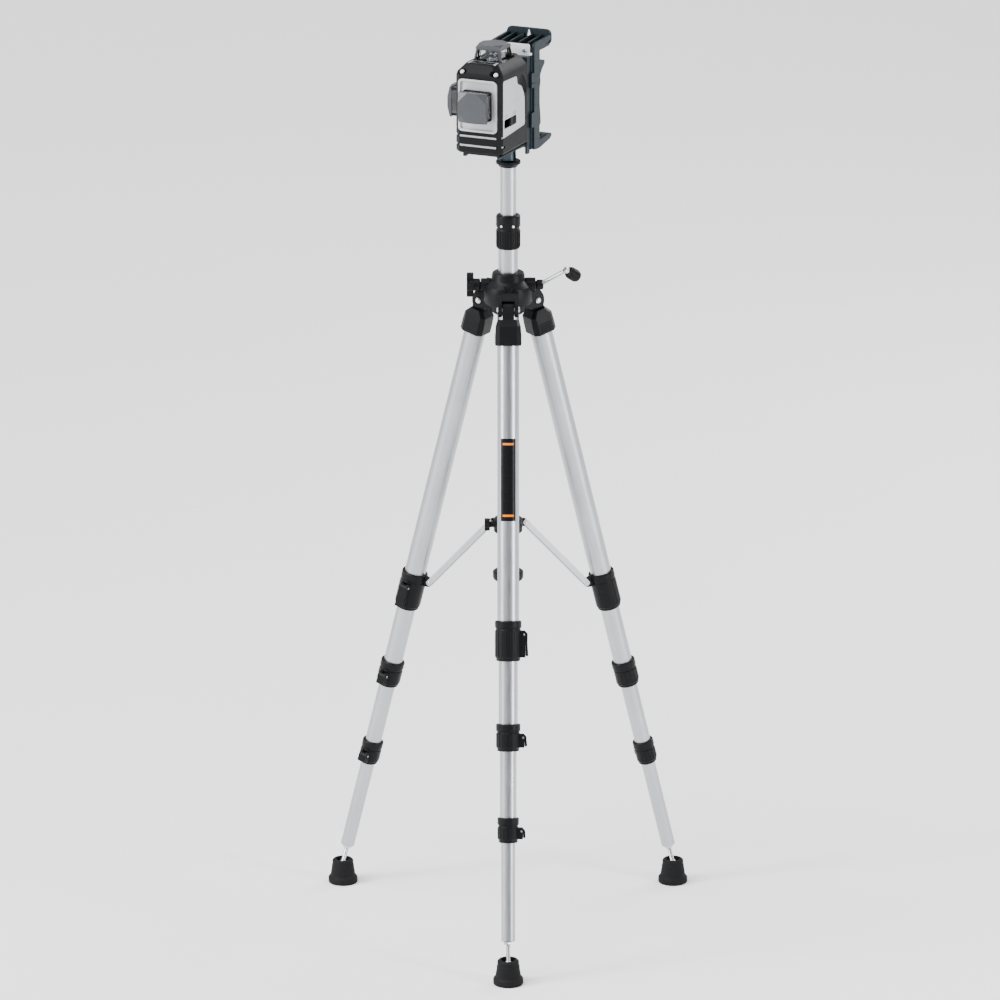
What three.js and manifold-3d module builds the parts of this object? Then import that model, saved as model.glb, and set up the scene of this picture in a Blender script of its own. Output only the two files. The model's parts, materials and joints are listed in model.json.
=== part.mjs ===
// A three-plane laser level on its clamp bracket, screwed onto a crank-column tripod.
// Units are millimetres, +Z is up, and the floor is at Z = 0.
// The laser looks along -Y, the clamp jaws reach towards +Y.

import * as THREE from 'three';
import { mergeVertices } from 'three/addons/utils/BufferGeometryUtils.js';
import Module from 'manifold-3d';

const wasm = await Module();
wasm.setup();

// ---------------------------------------------------------------- driving dimensions

const ROUND = 20;                      // sides of a turned piece
const GAP = 0.3;                       // clearance left between touching pieces
const SEAT_FIT = 0.45;                 // added to the radius of a bore that holds a tube still
const SLIDE_FIT = 0.55;                // added to the radius of a bore that a tube slides in
const PIN_FIT = 0.4;                   // added to the radius of a hole round a pin or a screw
const RAD = Math.PI / 180;

const FRONT_LEG_TURN = 24 * RAD;       // front leg, turned from -Y towards +X
const LEG_TURNS = { a: 0, b: 120 * RAD, c: -120 * RAD };
const LEG_TILT = 15 * RAD;
const LEG_PIVOT_RADIUS = 40;
const LEG_PIVOT_HEIGHT = 904;
const FOOT_BALL_DISTANCE = 906;        // from the leg pivot, along the leg
const FOOT_RADIUS = 21;

// leg stations, measured down the leg from its pivot
const TUBE_1 = { from: 24, to: 452, outer: 15, inner: 13.9 };
const TUBE_2 = { from: 212, to: 592, outer: 13.25, inner: 12.15 };
const TUBE_3 = { from: 362, to: 720, outer: 11.5, inner: 10.4 };
const TUBE_4 = { from: 532, to: 875, outer: 9.75, inner: 8.7 };
const LOCK_1 = { from: 430, to: 486, outer: 18.5 };
const LOCK_2 = { from: 573, to: 611, outer: 17 };
const LOCK_3 = { from: 703, to: 738, outer: 15 };

const CROWN = { bottom: 889, top: 948, outer: 34, cheek_bottom: 894 };
const GUIDE = { bottom: 503, top: 946, outer: 15, inner: 14 };
const COLUMN = { bottom: 640, top: 1000, outer: 13.5, inner: 12.3 };
const COLLAR = { bottom: 982, top: 1030, outer: 17 };
const EXTENSION = { bottom: 848, top: 1098, outer: 11, inner: 9.8 };
const PLATFORM = { top: 1107, outer: 17, stud_outer: 4.6, stud_top: 1117 };
const CRANK_HEIGHT = 929;
const CRANK_LEAN = 46 * RAD;           // the arm leans outwards from its shaft
const CRANK_TURN = 40 * RAD;
const CRANK = { knee: 44, arm: 50, arm_radius: 3, shaft_radius: 5 };
const GRIP = { from: 4, to: 24, outer: 8.5, chamfer: 2.5, pin_radius: 2.5 };

const BRACE_HUB = { pivot_radius: 27, pivot_height: 581, outer: 20, half_height: 10 };
const BRACE_LUG = { along: 436, inward: 27 };

// bracket, measured from the front plane of the rail (Y) and the rail's bottom (Z)
const RAIL = { half_width: 33, depth: 19, wall: 4 };
const JAW = { reach: 59.5, underside: 138.5 };
const CARRIAGE = { half_width: 29, front: -16, back: -5.6, top: 134 };
const SHELF = { top: 18, thickness: 9, front: -106, half_width: 27 };
const KNOB = { y: -14, outer: 10.75, bottom: -14, top: 2 };
const STRIP = { half_width: 26.7, low: 116, high: 149, front: -3.4, back: -0.4, screw_z: 141 };
const LEVER_PIN = { y: 23.8, z: 90.5, radius: 1.5 };
const EAR = { from: 22, to: 25, tip: 27 };   // the rail's ears that carry the lever pin

// laser body, measured from its front face (Y) and its bottom (Z)
const BODY = { half_width: 35, depth: 94, height: 124, corner: 8, top_slope: 11 };
const BODY_FRONT_IN_BRACKET = -118;
const CORE_MARGIN = 5;
const HEAD = { half: 21, reach: 20, cap: 6 };
const FRONT_HEAD_Z = 68;
const SIDE_HEAD = { y: 42, z: 64 };
const FACET_DROP = 3.5;                // how far a cap's corner facets fall
const TURRET = { y: 53.5, base_half: 21.5, cap_half: 18, height: 22, cap: 6 };

// the lowest corners of the feet set the middle of the footprint
const legDirection = (turn) => ({
  x: Math.sin(FRONT_LEG_TURN + turn),
  y: -Math.cos(FRONT_LEG_TURN + turn),
});
const FOOT_CIRCLE = LEG_PIVOT_RADIUS + FOOT_BALL_DISTANCE * Math.sin(LEG_TILT);
const middleOf = (axis) => {
  const places = Object.values(LEG_TURNS).map((turn) => FOOT_CIRCLE * legDirection(turn)[axis]);
  return (Math.max(...places) + Math.min(...places)) / 2;
};
const AXIS_X = -middleOf('x');
const AXIS_Y = -middleOf('y');

// ---------------------------------------------------------------- materials

const paint = (color, roughness, metalness) =>
  new THREE.MeshStandardMaterial({ color, roughness, metalness });

const ALUMINIUM = paint(0xc9cbcd, 0.35, 0.9);
const BLACK_PLASTIC = paint(0x1f2022, 0.55, 0);
const BLACK_RUBBER = paint(0x232427, 0.8, 0);
const SILVER_PLASTIC = paint(0xc4c6ca, 0.4, 0.1);
const BRACKET_PLASTIC = paint(0x3d4b50, 0.6, 0);
const STEEL = paint(0xb8babd, 0.3, 1);
const DARK_METAL = paint(0x3a4347, 0.4, 0.8);
const CLEAR_GLASS = paint(0xdfe6e8, 0.05, 0);

// ---------------------------------------------------------------- solids

const toSolid = (geometry) => {
  const bare = geometry.clone();
  bare.deleteAttribute('normal');
  bare.deleteAttribute('uv');
  const merged = mergeVertices(bare, 1e-4);
  const vertProperties = new Float32Array(merged.attributes.position.array);
  const triVerts = new Uint32Array(merged.index.array);
  return new wasm.Manifold(new wasm.Mesh({ numProp: 3, vertProperties, triVerts }));
};

const toGeometry = (solid) => {
  const mesh = solid.getMesh();
  const geometry = new THREE.BufferGeometry();
  geometry.setAttribute('position', new THREE.BufferAttribute(mesh.vertProperties, 3));
  geometry.setIndex(new THREE.BufferAttribute(mesh.triVerts, 1));
  geometry.computeVertexNormals();
  return geometry;
};

const join = (...solids) => solids.reduce((whole, next) => whole.add(next));
const cut = (solid, ...tools) => tools.reduce((left, tool) => left.subtract(tool), solid);

// a box between two corners
const block = ([x0, y0, z0], [x1, y1, z1]) => {
  const geometry = new THREE.BoxGeometry(x1 - x0, y1 - y0, z1 - z0);
  geometry.translate((x0 + x1) / 2, (y0 + y1) / 2, (z0 + z1) / 2);
  return toSolid(geometry);
};

// a turned piece about Z from its [radius, height] outline, listed counter-clockwise
const turned = (outline, sides = ROUND) => {
  const points = outline.map(([radius, height]) => new THREE.Vector2(radius, height));
  points.push(points[0].clone());
  const geometry = new THREE.LatheGeometry(points, sides);
  geometry.rotateX(Math.PI / 2);
  return geometry;
};
const rod = (radius, low, high, sides = ROUND) =>
  toSolid(turned([[0, low], [radius, low], [radius, high], [0, high]], sides));
const pipe = (outer, inner, low, high, sides = ROUND) =>
  toSolid(turned([[inner, low], [outer, low], [outer, high], [inner, high]], sides));

const turnedTo = (solid, x, y, z) => solid.rotate([x, y, z]);
const crossRod = (radius, fromX, toX, y, z, sides = 12) =>
  turnedTo(rod(radius, fromX, toX, sides), 0, 90, 0).translate([0, y, z]);
const frontRod = (radius, fromY, toY, x, z, sides = 16) =>
  turnedTo(rod(radius, -toY, -fromY, sides), 90, 0, 0).translate([x, 0, z]);

// a flat outline of [y, z] points, extruded along X
const sidePlate = (outline, fromX, toX) => {
  const shape = new THREE.Shape(outline.map(([y, z]) => new THREE.Vector2(y, z)));
  const geometry = new THREE.ExtrudeGeometry(shape, { depth: toX - fromX, bevelEnabled: false });
  geometry.rotateX(Math.PI / 2);
  geometry.rotateZ(Math.PI / 2);
  geometry.translate(fromX, 0, 0);
  return toSolid(geometry);
};

// a flat outline of [x, z] points, extruded along Y
const frontPlate = (outline, fromY, toY) => {
  const shape = new THREE.Shape(outline.map(([x, z]) => new THREE.Vector2(x, z)));
  const geometry = new THREE.ExtrudeGeometry(shape, { depth: toY - fromY, bevelEnabled: false });
  geometry.rotateX(Math.PI / 2);
  geometry.translate(0, toY, 0);
  return toSolid(geometry);
};

// a four-sided frustum between two squares on the Z axis
const frustum = (lowHalf, highHalf, low, high) => {
  const reach = Math.SQRT2;
  const geometry = turned([[0, low], [lowHalf * reach, low], [highHalf * reach, high], [0, high]], 4);
  geometry.rotateZ(Math.PI / 4);
  return toSolid(geometry);
};

const addPart = (parent, name, solid, material) => {
  const mesh = new THREE.Mesh(toGeometry(solid), material);
  mesh.name = name;
  parent.add(mesh);
  return mesh;
};

// ---------------------------------------------------------------- tripod legs
// Inside a leg, the pivot is the origin, -Z runs down the leg and +X points outwards.

const legTube = ({ from, to, outer, inner }) => pipe(outer, inner, -to, -from);

const legShoulder = () => {
  const socket = cut(
    rod(17.6, -50, -20),
    rod(TUBE_1.outer + SLIDE_FIT, -51, -TUBE_1.from + GAP),
  );
  const tongue = block([-9, -8, -22], [9, 8, 9]);
  const yoke = block([-10, -17, -23], [10, 17, -14]);
  const pin = turnedTo(rod(3, -13, 13, 12), 90, 0, 0);
  return join(socket, tongue, yoke, pin);
};

// a clamp sleeve that grips the outer tube and lets the next one slide, with its flip lever
const legLock = ({ from, to, outer }, upper, lower) => {
  const step = -Math.min(upper.to, to) - 1;
  const sleeve = pipe(outer, lower.outer + SLIDE_FIT, -to, -from);
  const upperBore = rod(upper.outer + SLIDE_FIT, step, -from + 1);
  const lever = block([-5, outer - 3, -to + 5], [5, outer + 9, -from - 14]);
  const lowerBore = rod(lower.outer + SLIDE_FIT, -to - 1, -from + 1);
  return cut(join(sleeve, lever), upperBore, lowerBore);
};

const braceLug = () => {
  const { along, inward } = BRACE_LUG;
  return block([-inward - 4, -2.5, -along - 7], [-LOCK_1.outer + 2, 2.5, -along + 5]);
};

const footTube = () => {
  const plug = rod(TUBE_4.inner + 0.3, -TUBE_4.to - 3, -TUBE_4.to + 12);
  const spindle = rod(3, -FOOT_BALL_DISTANCE + 2, -TUBE_4.to, 12);
  const ball = toSolid(new THREE.SphereGeometry(5, 12, 8)).translate([0, 0, -FOOT_BALL_DISTANCE]);
  return join(legTube(TUBE_4), plug, spindle, ball);
};

const rubberFoot = () => {
  const ballHeight = LEG_PIVOT_HEIGHT - FOOT_BALL_DISTANCE * Math.cos(LEG_TILT);
  const body = toSolid(turned([
    [0, 0], [FOOT_RADIUS, 0], [FOOT_RADIUS, 6], [FOOT_RADIUS - 4, 10], [15, 33], [13, 35], [0, 35],
  ]));
  const socket = rod(9.5, ballHeight - 8, 36, 16);
  return cut(body, socket);
};

const placeLeg = (tripod, letter, turn) => {
  const leg = new THREE.Group();
  leg.position.set(0, 0, LEG_PIVOT_HEIGHT);
  leg.rotation.z = FRONT_LEG_TURN - Math.PI / 2 + turn;
  const tilted = new THREE.Group();
  tilted.position.x = LEG_PIVOT_RADIUS;
  tilted.rotation.y = -LEG_TILT;
  leg.add(tilted);
  tripod.add(leg);
  const name = (piece) => `leg_${letter}_${piece}`;
  addPart(tilted, name('shoulder'), legShoulder(), BLACK_PLASTIC);
  addPart(tilted, name('tube_1'), legTube(TUBE_1), ALUMINIUM);
  addPart(tilted, name('lock_1'), join(legLock(LOCK_1, TUBE_1, TUBE_2), braceLug()), BLACK_PLASTIC);
  addPart(tilted, name('tube_2'), legTube(TUBE_2), ALUMINIUM);
  addPart(tilted, name('lock_2'), legLock(LOCK_2, TUBE_2, TUBE_3), BLACK_PLASTIC);
  addPart(tilted, name('tube_3'), legTube(TUBE_3), ALUMINIUM);
  addPart(tilted, name('lock_3'), legLock(LOCK_3, TUBE_3, TUBE_4), BLACK_PLASTIC);
  addPart(tilted, name('tube_4'), footTube(), ALUMINIUM);
  const foot = addPart(tripod, name('foot'), rubberFoot(), BLACK_RUBBER);
  const direction = legDirection(turn);
  foot.position.set(FOOT_CIRCLE * direction.x, FOOT_CIRCLE * direction.y, 0);
  placeBrace(tripod, letter, turn);
};

// ---------------------------------------------------------------- braces

const braceEnds = () => {
  const { along, inward } = BRACE_LUG;
  const lug = {
    radius: LEG_PIVOT_RADIUS + along * Math.sin(LEG_TILT) - inward * Math.cos(LEG_TILT),
    height: LEG_PIVOT_HEIGHT - along * Math.cos(LEG_TILT) - inward * Math.sin(LEG_TILT),
  };
  const hub = { radius: BRACE_HUB.pivot_radius, height: BRACE_HUB.pivot_height };
  const length = Math.hypot(lug.radius - hub.radius, lug.height - hub.height);
  const slope = Math.atan2(lug.radius - hub.radius, hub.height - lug.height);
  return { lug, hub, length, slope };
};

// a U-channel strut: its two cheeks straddle the lugs and its web stops short of both ends
const braceStrut = (length) => {
  const cheek = (side) => block([-4, side - 0.6, -length - 4], [4, side + 0.6, 4]);
  const web = block([2.8, -3.8, -length + 16], [4, 3.8, -13]);
  return join(cheek(3.6), cheek(-3.6), web);
};

const placeBrace = (tripod, letter, turn) => {
  const { hub, length, slope } = braceEnds();
  const brace = new THREE.Group();
  brace.position.set(0, 0, hub.height);
  brace.rotation.z = FRONT_LEG_TURN - Math.PI / 2 + turn;
  const tilted = new THREE.Group();
  tilted.position.x = hub.radius;
  tilted.rotation.y = -slope;
  brace.add(tilted);
  tripod.add(brace);
  addPart(tilted, `leg_${letter}_brace`, braceStrut(length), ALUMINIUM);
};

// ---------------------------------------------------------------- tripod centre

const towardsLegs = (solid) => Object.values(LEG_TURNS)
  .map((turn) => solid.rotate([0, 0, (FRONT_LEG_TURN + turn) / RAD - 90]));

const crown = () => {
  const hub = toSolid(turned([
    [0, CROWN.bottom], [20, CROWN.bottom], [26, CROWN.bottom + 12], [CROWN.outer, CROWN.bottom + 14],
    [CROWN.outer, 926], [30, 934], [21, 938], [19, CROWN.top], [0, CROWN.top],
  ]));
  const cheek = (side) => {
    const arm = block([16, side - 2.4, CROWN.cheek_bottom], [50, side + 2.4, LEG_PIVOT_HEIGHT + 12]);
    const nose = turnedTo(rod(3.5, -16, 16, 12), 90, 0, 0);
    return cut(arm, nose.translate([LEG_PIVOT_RADIUS, 0, LEG_PIVOT_HEIGHT]));
  };
  const slot = block([28, -8.6, CROWN.bottom - 1], [52, 8.6, LEG_PIVOT_HEIGHT + 11.5]);
  const arms = [...towardsLegs(cheek(11.2)), ...towardsLegs(cheek(-11.2))];
  const shaftBoss = turnedTo(rod(10, -38, 38, 16), 0, 90, 0).translate([0, 0, CRANK_HEIGHT]);
  const bosses = turnedTo(shaftBoss, 0, 0, FRONT_LEG_TURN / RAD);
  const bore = rod(GUIDE.outer + SEAT_FIT, CROWN.bottom - 1, GUIDE.top + GAP);
  const mouth = rod(COLUMN.outer + 0.6, GUIDE.top, CROWN.top + 1);
  const shaftBore = turnedTo(rod(5.5, 16, 42, 12), 0, 90, 0).translate([0, 0, CRANK_HEIGHT]);
  const screwBore = turnedTo(rod(4.4, -40, -16, 12), 0, 90, 0).translate([0, 0, CRANK_HEIGHT]);
  const bores = [shaftBore, screwBore].map((hole) => turnedTo(hole, 0, 0, FRONT_LEG_TURN / RAD));
  return cut(join(hub, ...arms, bosses), ...towardsLegs(slot), bore, mouth, ...bores);
};

const guideEndCap = () => {
  const cap = toSolid(turned([
    [0, GUIDE.bottom - 3], [19, GUIDE.bottom - 3], [21.5, GUIDE.bottom], [21.5, GUIDE.bottom + 11],
    [0, GUIDE.bottom + 11],
  ]));
  return cut(cap, rod(GUIDE.outer + SEAT_FIT, GUIDE.bottom - GAP, GUIDE.bottom + 12));
};

const braceHub = () => {
  const { pivot_radius, pivot_height, outer, half_height } = BRACE_HUB;
  const ring = rod(outer, pivot_height - half_height, pivot_height + half_height);
  const lug = block([outer - 4, -2.5, pivot_height - 5], [pivot_radius + 4, 2.5, pivot_height + 5]);
  const screw = turnedTo(rod(4, -26, -17, 12), 0, 90, 0).translate([0, 0, pivot_height]);
  const head = turnedTo(rod(8, -33, -25.5, 12), 0, 90, 0).translate([0, 0, pivot_height]);
  const knob = turnedTo(join(screw, head), 0, 0, FRONT_LEG_TURN / RAD);
  const bore = rod(GUIDE.outer + SLIDE_FIT, pivot_height - half_height - 1, pivot_height + half_height + 1);
  return cut(join(ring, ...towardsLegs(lug), knob), bore);
};

const columnCollar = () => {
  const sleeve = toSolid(turned([
    [0, COLLAR.bottom], [15.5, COLLAR.bottom], [COLLAR.outer, COLLAR.bottom + 4],
    [COLLAR.outer, COLLAR.top - 10], [14, COLLAR.top], [0, COLLAR.top],
  ]));
  const lowerBore = rod(COLUMN.outer + SLIDE_FIT, COLLAR.bottom - 1, COLUMN.top + 1);
  const upperBore = rod(EXTENSION.outer + SLIDE_FIT, COLLAR.bottom, COLLAR.top + 1);
  return cut(sleeve, lowerBore, upperBore);
};

const platform = () => {
  const disc = toSolid(turned([
    [0, EXTENSION.top + GAP], [13, EXTENSION.top + GAP], [PLATFORM.outer, PLATFORM.top - 5],
    [PLATFORM.outer, PLATFORM.top], [0, PLATFORM.top],
  ]));
  const stud = rod(PLATFORM.stud_outer, PLATFORM.top - 1, PLATFORM.stud_top, 16);
  const plug = rod(EXTENSION.inner - 0.4, EXTENSION.top - 14, EXTENSION.top + 1);
  return join(disc, stud, plug);
};

// Crank pieces lie along +X from the column axis, and the arm leans from +X towards +Z.
// The grip's pin stands square on the arm's end and points outwards and down.
const onArmEnd = (solid) => turnedTo(solid, 0, CRANK_LEAN / RAD + 90, 0).translate([
  CRANK.knee + CRANK.arm * Math.sin(CRANK_LEAN), 0, CRANK.arm * Math.cos(CRANK_LEAN),
]);

const crank = () => {
  const { knee, arm, arm_radius, shaft_radius } = CRANK;
  const shaft = turnedTo(rod(shaft_radius, 17, knee + 6, 12), 0, 90, 0);
  const leaningArm = turnedTo(rod(arm_radius, 0, arm + GRIP.pin_radius, 12), 0, CRANK_LEAN / RAD, 0);
  const pin = rod(GRIP.pin_radius, -arm_radius + 0.5, GRIP.to - 2, 12);
  return join(shaft, leaningArm.translate([knee, 0, 0]), onArmEnd(pin));
};

const crankGrip = () => {
  const { from, to, outer, chamfer, pin_radius } = GRIP;
  const body = toSolid(turned([
    [0, from], [outer - chamfer, from], [outer, from + chamfer],
    [outer, to - chamfer], [outer - chamfer, to], [0, to],
  ], 16));
  return onArmEnd(cut(body, rod(pin_radius + SEAT_FIT, from - 1, to - 1.6, 12)));
};

const columnLockKnob = () => {
  const screw = turnedTo(rod(4, -46, -16.5, 12), 0, 90, 0);
  const wing = block([-58, -5, -17], [-48, 5, 17]);
  const hub = turnedTo(rod(9, -54, -38.5, 12), 0, 90, 0);
  return join(screw, wing, hub);
};

const placeCrank = (tripod) => {
  const side = new THREE.Group();
  side.position.z = CRANK_HEIGHT;
  side.rotation.z = FRONT_LEG_TURN;
  tripod.add(side);
  const turning = new THREE.Group();
  turning.rotation.x = CRANK_TURN;
  side.add(turning);
  addPart(turning, 'crank', crank(), BLACK_PLASTIC);
  addPart(turning, 'crank_grip', crankGrip(), BLACK_PLASTIC);
  addPart(side, 'column_lock_knob', columnLockKnob(), BLACK_PLASTIC);
};

const placeCentre = (tripod) => {
  addPart(tripod, 'crown', crown(), BLACK_PLASTIC);
  addPart(tripod, 'guide_tube', pipe(GUIDE.outer, GUIDE.inner, GUIDE.bottom, GUIDE.top), ALUMINIUM);
  addPart(tripod, 'guide_end_cap', guideEndCap(), BLACK_PLASTIC);
  addPart(tripod, 'brace_hub', braceHub(), BLACK_PLASTIC);
  addPart(tripod, 'column_tube', pipe(COLUMN.outer, COLUMN.inner, COLUMN.bottom, COLUMN.top), ALUMINIUM);
  addPart(tripod, 'column_collar', columnCollar(), BLACK_PLASTIC);
  const extension = pipe(EXTENSION.outer, EXTENSION.inner, EXTENSION.bottom, EXTENSION.top);
  addPart(tripod, 'extension_tube', extension, ALUMINIUM);
  addPart(tripod, 'platform', platform(), BLACK_PLASTIC);
  placeCrank(tripod);
};

// ---------------------------------------------------------------- bracket

const KEYHOLE = { head: 3.2, neck: 1.7, rise: 7 };
const keyhole = (x, z, fromY, toY) => join(
  frontRod(KEYHOLE.head, fromY, toY, x, z),
  block([x - KEYHOLE.neck, fromY, z], [x + KEYHOLE.neck, toY, z + KEYHOLE.rise]),
  frontRod(KEYHOLE.neck, fromY, toY, x, z + KEYHOLE.rise, 12),
);

const carriage = () => {
  const { half_width, front, back, top } = CARRIAGE;
  const shelfLow = SHELF.top - SHELF.thickness;
  const column = block([-half_width, front, shelfLow], [half_width, back, top]);
  const trough = frontPlate([[-24, 8], [24, 8], [18, top + 1], [-18, top + 1]], front - 1, back - 3);
  const troughAboveShelf = trough.subtract(block([-30, front - 1, 0], [30, back, SHELF.top]));
  const shelf = block([-SHELF.half_width, SHELF.front, shelfLow], [SHELF.half_width, front + 1, SHELF.top]);
  const tunnelHalf = SHELF.half_width - 4;
  const tunnel = block([-tunnelHalf, SHELF.front + 5, 0], [tunnelHalf, -30, SHELF.top - 3]);
  const neck = block([-14, -30, shelfLow], [14, back, SHELF.top]);
  const tab = (side) => block([side - 1.5, front, -3], [side + 1.5, back - 0.4, 12]);
  const clip = (side, low) => {
    const bridge = block([side * 31 - 2.5, -9, low], [side * 31 + 2.5, back, low + 21]);
    const lip = block([side * 32 - 1.3, back - 1, low], [side * 32 + 1.3, -0.5, low + 21]);
    return join(bridge, lip);
  };
  const clips = [-1, 1].flatMap((side) => [clip(side, 89), clip(side, 33)]);
  const shank = rod(4.6, 0, SHELF.top + 1, 16).translate([0, KNOB.y, 0]);
  return cut(
    join(column, shelf, neck, tab(27.5), tab(-27.5), ...clips),
    troughAboveShelf,
    tunnel,
    keyhole(2, 112, front - 1, 0),
    shank,
  );
};

const tripodKnob = () => {
  const body = rod(KNOB.outer, KNOB.bottom + GAP, KNOB.top, 24);
  const neck = rod(6.5, KNOB.top - 1, SHELF.top - SHELF.thickness - GAP, 16);
  const shank = rod(4, KNOB.top, SHELF.top - 1, 16);
  const bore = rod(PLATFORM.stud_outer + PIN_FIT, KNOB.bottom, KNOB.bottom + 11.5, 16);
  return cut(join(body, neck, shank), bore).translate([0, KNOB.y, 0]);
};

// side wall of the rail with the upper jaw's outer rib in one outline of [y, z] points
const RAIL_SIDE = [
  [0, 0], [RAIL.depth, -1], [55, 4.5], [JAW.reach, 7.5], [JAW.reach, 11.5], [RAIL.depth, 10],
  [RAIL.depth, JAW.underside], [30, JAW.underside], [33, 139.5], [40, 140], [43, 141.5], [50, 142],
  [53, 143.5], [JAW.reach, 144], [JAW.reach, 151], [4, 150], [0, 146],
];

const railBody = () => {
  const outer = RAIL.half_width;
  const walls = [-1, 1].map((side) => {
    const near = Math.min(side * outer, side * (outer - RAIL.wall));
    return sidePlate(RAIL_SIDE, near, near + RAIL.wall);
  });
  const tongues = [-1, 1].map((side) => {
    const near = Math.min(side * 27.2, side * 30.2);
    return block([near, CARRIAGE.back + GAP, 1], [near + 3, 1, 133]);
  });
  const tongueRoots = [-1, 1].map((side) => {
    const near = Math.min(side * 27.2, side * 31);
    return block([near, 0, 1], [near + 3.8, 7, 133]);
  });
  const web = block([-outer + 1, 4, 1], [outer - 1, 7, 132]);
  const jawFloor = block([-outer + 1, 1, 136.5], [outer - 1, JAW.reach, 140]);
  const upright = block([-outer, JAW.reach - 4, 138], [outer, JAW.reach, 158]);
  const corners = [-1, 1].map((side) => {
    const edge = side * outer;
    return frontPlate(
      side > 0 ? [[edge, 151], [edge, 159], [edge - 8, 159]] : [[edge, 151], [edge + 8, 159], [edge, 159]],
      50, 61,
    );
  });
  const ribs = [-19.8, -6.6, 6.6, 19.8].map((x) =>
    sidePlate([[4, 139], [JAW.reach - 3, 139], [JAW.reach - 3, 151], [8, 150], [4, 146]], x - 1.2, x + 1.2));
  const lowerBar = block([-outer + 1, 46, 4.5], [outer - 1, JAW.reach, 11.5]);
  const lowerFoot = block([-outer + 1, 4, 1], [outer - 1, RAIL.depth, 10]);
  const ears = [-1, 1].map((side) => {
    const near = Math.min(side * EAR.from, side * EAR.to);
    const outline = [
      [6, 80], [EAR.tip - 3, 85], [EAR.tip, LEVER_PIN.z], [EAR.tip - 3, 96], [6, 101],
    ];
    return sidePlate(outline, near, near + EAR.to - EAR.from);
  });
  const pinHole = crossRod(LEVER_PIN.radius + PIN_FIT, -40, 40, LEVER_PIN.y, LEVER_PIN.z);
  const leverRoom = block([-29.6, RAIL.depth + 0.1, 60], [29.6, 30, 75]);
  const whole = join(
    ...walls, ...tongues, ...tongueRoots, web, jawFloor, upright, ...ribs, lowerBar, lowerFoot, ...ears,
  );
  const upperKeyhole = keyhole(0, 147, 50, 62);
  return cut(whole, ...corners, pinHole, upperKeyhole, leverRoom);
};

const stripPlate = () => {
  const { half_width, low, high, front, back, screw_z } = STRIP;
  const plate = block([-half_width, front, low], [half_width, back, high]);
  const holes = [-19, 19].map((x) => frontRod(1.9, front - 1, back + 1, x, screw_z, 12));
  return cut(plate, ...holes);
};

const stripScrew = (x) => {
  const head = frontRod(3.2, STRIP.front - 1.9, STRIP.front - GAP, x, STRIP.screw_z);
  const shank = frontRod(1.4, STRIP.front - 0.5, 0.6, x, STRIP.screw_z, 12);
  return join(head, shank);
};

const clampLever = () => {
  const outline = [
    [19.6, 124], [45.5, 117.5], [45.5, 113], [36, 106], [30.5, 99], [31.4, 92], [29.4, 84], [27, 74],
    [32.4, 34], [30.5, 29], [21, 24], [19.6, 27], [25, 36], [20, 70], [17.5, 84], [16.8, 92], [17.5, 104],
  ];
  const whole = sidePlate(outline, -28.8, 28.8);
  const earSlots = [-1, 1].map((side) => {
    const near = Math.min(side * (EAR.from - PIN_FIT), side * (EAR.to + PIN_FIT));
    const width = EAR.to - EAR.from + 2 * PIN_FIT;
    return block([near, 10, 80], [near + width, EAR.tip + 2 * GAP, 101]);
  });
  const hollow = block([-EAR.from + 1, 10, 80], [EAR.from - 1, EAR.tip, 101]);
  const pinHole = crossRod(LEVER_PIN.radius + PIN_FIT, -30, 30, LEVER_PIN.y, LEVER_PIN.z);
  return cut(whole, ...earSlots, hollow, pinHole);
};

const leverPin = () =>
  crossRod(LEVER_PIN.radius, -29.5, 29.5, LEVER_PIN.y, LEVER_PIN.z);

const placeBracket = (head) => {
  addPart(head, 'carriage', carriage(), BRACKET_PLASTIC);
  addPart(head, 'tripod_knob', tripodKnob(), DARK_METAL);
  addPart(head, 'rail_body', railBody(), BRACKET_PLASTIC);
  addPart(head, 'strip_plate', stripPlate(), SILVER_PLASTIC);
  addPart(head, 'strip_screw_left', stripScrew(-19), STEEL);
  addPart(head, 'strip_screw_right', stripScrew(19), STEEL);
  addPart(head, 'clamp_lever', clampLever(), BRACKET_PLASTIC);
  addPart(head, 'lever_pin', leverPin(), STEEL);
};

// ---------------------------------------------------------------- laser

// front window and side panels, as [y, z] and [x, z] outlines
const SIDE_PANEL = [[8, 22], [84, 26], [83, 66], [72, 84], [58, 89], [57, 101], [8, 103]];
const FRONT_PANEL = [[-29, 30], [29, 30], [29, 104], [-29, 104]];
const SWITCH_SLOT = { from: 14, to: 54, low: 35, high: 47 };
const SLIDER = { from: 31, to: 53.5 };

const bodyBlock = () => {
  const { half_width, depth, height, corner, top_slope } = BODY;
  const plan = [
    [-half_width, corner], [-half_width + corner, 0], [half_width - corner, 0], [half_width, corner],
    [half_width, depth - 4], [half_width - 4, depth], [-half_width + 4, depth], [-half_width, depth - 4],
  ];
  const shape = new THREE.Shape(plan.map(([x, y]) => new THREE.Vector2(x, y)));
  const prism = toSolid(new THREE.ExtrudeGeometry(shape, { depth: height, bevelEnabled: false }));
  const slopeFront = sidePlate([[-1, height - 15], [-1, height + 1], [top_slope + 1, height + 1]], -40, 40);
  const slopeSide = (side) => {
    const edge = side * (half_width + 1);
    const points = [[edge, height - 13], [edge, height + 1], [edge - side * 12, height + 1]];
    return frontPlate(side > 0 ? points : points.reverse(), -1, depth + 1);
  };
  return cut(prism, slopeFront, slopeSide(1), slopeSide(-1));
};

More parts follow.
